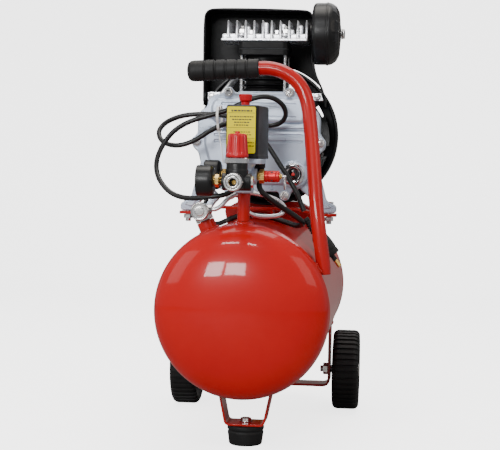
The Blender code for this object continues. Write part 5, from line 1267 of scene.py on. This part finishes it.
def gauge(name, node, stem_end, centre, turn, body):
    """A 40 mm gauge facing left: case, bezel, white dial with printed ticks, needle, lens and brass stem."""
    x, y, z = centre
    case = [(0, 22.4), (14, 22.4), (17.4, 21.4), (19.2, 19.0), (19.6, 16), (19.6, 2.4), (17.6, 2.4),
            (17.6, 4.0), (0, 4.0)]
    revolve(f"{name}_case", case, "black_plastic", centre, "X", 128, soft=0.6, node=node,
            slot="black_plastic")
    bezel = [(17.4, 2.6), (17.4, 0.9), (18.3, 0.1), (19.2, 0.5), (19.75, 1.6), (19.75, 3.6), (18.6, 3.8)]
    revolve(f"{name}_bezel", bezel, "black_plastic", centre, "X", 128, ring=True, soft=0.4)
    revolve(f"{name}_dial", [(0, 3.5), (17.5, 3.5), (17.5, 4.1), (0, 4.1)], "paper_white", centre, "X", 96,
            soft=0.1)

    def bar(label, inner, outer, half, at_turn, finish_name):
        c, s = math.cos(at_turn), math.sin(at_turn)
        line = [(y + r * c - w * s, z + r * s + w * c) for r, w in
                ((inner, -half), (outer, -half), (outer, half), (inner, half))]
        plate(label, line, x + 3.28, x + 3.6, finish_name, axis="X", edge=0.03)

    for k in range(25):
        at_turn = math.radians(-45 + 270 * k / 24)
        long_one = k % 4 == 0
        bar(f"{name}_tick_{k + 1}", 13.2 if long_one else 14.6, 16.2, 0.34 if long_one else 0.17, at_turn,
            "print")
    for k in range(18):
        at_turn = math.radians(-45 + 52 * k / 17)
        bar(f"{name}_red_{k + 1}", 11.8, 12.8, 0.4, at_turn, "red_dot")
    angle = math.radians(turn)
    c, s = math.cos(angle), math.sin(angle)
    line = [(y + r * c - w * s, z + r * s + w * c) for r, w in
            ((-5, -0.9), (-1, -0.55), (14.6, -0.15), (14.6, 0.15), (-1, 0.55), (-5, 0.9))]
    plate(f"{name}_pointer", line, x + 2.0, x + 2.6, "print", axis="X", edge=0.08, body=body,
          node=f"{node}_needle")
    rod(f"{name}_pivot", 1.9, 1.6, 3.2, "black_plastic", centre, "X", 40, edge=0.4, body=body)
    revolve(f"{name}_lens", [(0, 1.0), (10, 1.15), (17.4, 1.5), (17.4, 2.1), (10, 1.75), (0, 1.6)], "clear",
            centre, "X", 96, ring=True, soft=0.1)
    rod(f"{name}_neck", 6.0, 22.0, 23.8, "brass", centre, "X", 48, edge=0.5)
    rod(f"{name}_hex", 8.2, 23.6, 29.2, "brass", centre, "X", 6, edge=0.9)
    rows, wind = thread(5.2, 28.8, stem_end - x, 1.2, 0.35)
    revolve(f"{name}_stem", rows, "brass", centre, "X", 40, soft=0, shape=wind)


def fittings():
    """Safety valve with its ring, check valve with its knurled cap, pipes with their nuts, and the drain."""
    axis = (0, POST_Y, PORT_Z)
    rows, wind = thread(6.0, 16.4, 20.0, 1.2, 0.35)
    revolve("relief_thread", rows, "brass", axis, "X", 40, soft=0, shape=wind)
    rod("relief_hex", 9.4, 18.8, 26.0, "brass", axis, "X", 6, edge=0.9, node="safety_valve", slot="brass")
    body = [(0, 25.8), (6.8, 25.8), (7.6, 26.6), (7.7, 27.6), (7.7, 44.0), (7.0, 45.6), (6.0, 46.2),
            (0, 46.2)]
    groove = lambda r, h, a: (r - (r > 7.4) * 0.5 * np.exp(-((h - 30.5) / 0.6) ** 2)
                              - (r > 7.4) * 0.5 * np.exp(-((h - 41.5) / 0.6) ** 2), h)
    dense = body[:3] + [(7.7, h) for h in np.linspace(27.6, 44, 70)] + body[5:]
    revolve("relief_body", dense, "red_anodised", axis, "X", 96, soft=0, shape=groove)
    # Four dark discs on the valve's side: painted shade that stands for its vent holes.
    for k in range(4):
        a = math.pi / 4 + math.pi / 2 * k
        at = (36, POST_Y + 7.3 * math.cos(a), PORT_Z + 7.3 * math.sin(a))
        out = along((0, math.cos(a), math.sin(a)))
        rod(f"relief_hole_{k + 1}", 1.5, -0.6, 0.55, "gasket", at, out, 24, edge=0.1)
    revolve("relief_tip", [(0, 46), (4.6, 46), (4.6, 46.8), (3.2, 47.4), (3.2, 49.2), (0, 49.2)], "brass",
            axis, "X", 48, soft=0.2)
    angle = np.linspace(0, 2 * np.pi, 72, endpoint=False)
    line = np.stack([np.full(72, 53.1), POST_Y + 8.0 * np.cos(angle), PORT_Z - 8.6 + 8.0 * np.sin(angle)],
                    axis=1)
    sweep("pull_ring", None, 0.95, "steel", line=line, closed=True, steps=20, body="pull_ring",
          node="safety_ring", slot="steel")
    rod("pull_link", 1.9, 49.6, 54.6, "steel", axis, "X", 32, edge=0.5, body="pull_ring")

    lean = along(CHECK_LEAN)
    foot = CHECK_FOOT
    rows, wind = thread(6.6, 121, 141, 1.6, 0.4)
    revolve("check_thread", rows, "zinc", foot, lean, 48, soft=0, shape=wind)
    rod("check_hex", 12.2, 135.4, 142, "zinc", foot, lean, 6, edge=1.2, node="check_valve", slot="zinc")
    rod("check_stem", 8.0, 140, 150, "zinc", foot, lean, 56, edge=0.5)
    cx, cz = -59.5, 322.0
    barrel = [(0, -60), (9.2, -60), (10, -59), (10, -30), (9.0, -28.6), (9.0, -24.4), (0, -24.2)]
    revolve("check_barrel", barrel, "zinc", (cx, 0, cz), "Y", 80, soft=0.6)
    cap = [(0, -67), (5.5, -67), (6.4, -66.4), (9.6, -66.4), (10.8, -67), (11.8, -66.2)]
    cap += [(12.2, y) for y in np.linspace(-65.6, -60.2, 12)] + [(11.4, -59.2), (0, -59.2)]
    crossed = lambda h, a: np.clip(np.cos(a * 44 + h * 2.6) + np.cos(a * 44 - h * 2.6), 0, 1)
    knurl = lambda r, h, a: (r - (r > 12.0) * 0.42 * crossed(h, a), h)
    revolve("check_cap", cap, "zinc", (cx, 0, cz), "Y", 352, soft=0.3, shape=knurl)
    rod("unloader_nut", 6.2, 5, 13.4, "zinc", (cx, -42, 324), "X", 6, edge=0.7)
    rod("discharge_nut", 9.0, -30, -22.4, "brass", (cx, 0, cz), "Y", 6, edge=0.9)
    sweep("discharge_pipe", DISCHARGE_ROUTE, 5.0, "aluminium", 2.5, 36, node="discharge_tube",
          slot="aluminium")
    rod("head_nut", 7.8, 216.1, 223, "brass", (-14, 0, 570.5), "Y", 6, edge=0.9)
    sweep("unloader_pipe", UNLOADER_ROUTE, 3.0, "aluminium", 1.6, 28, node="unloader_tube", slot="aluminium")
    rod("port_nut", 5.4, 371.5, 377.8, "brass", (-8, -31, 0), steps=6, edge=0.6)

    drain = [(0, 61), (5.6, 61), (5.6, 58.8), (7.4, 58.4), (7.4, 54.6), (5.0, 54.2), (5.0, 45.2),
             (4.2, 44.4), (0, 44.4)]
    revolve("drain_body", drain, "brass", (0, DRAIN_Y, 0), "Z", 64, soft=0.4, body="drain",
            node="drain_cock", slot="brass")
    wing = [(-11, 46), (11, 46), (12, 53), (-12, 53)]
    plate("drain_wing", wing, DRAIN_Y - 1.4, DRAIN_Y + 1.4, "brass", corner=2.0, edge=0.9, body="drain")


# ---------------------------------------------------------------- the whole machine

build_groups()
build_finishes()
camera()
studio()
cords()
cord_tie()
tank()
foot_and_axle()
wheels()
handle()
saddles()
crankcase()
cover()
pump_top()
air_filter()
hood()
fan_and_motor()
running_parts()
switch()
regulator()
gauge("outlet_meter", "outlet_gauge", REG_X - 18.8, (-54, REG_Y, 364), 225, "outlet_needle")
gauge("tank_meter", "tank_gauge", POST_X - 17.3, (-54, POST_Y, PORT_Z + 1), 240, "tank_needle")
fittings()
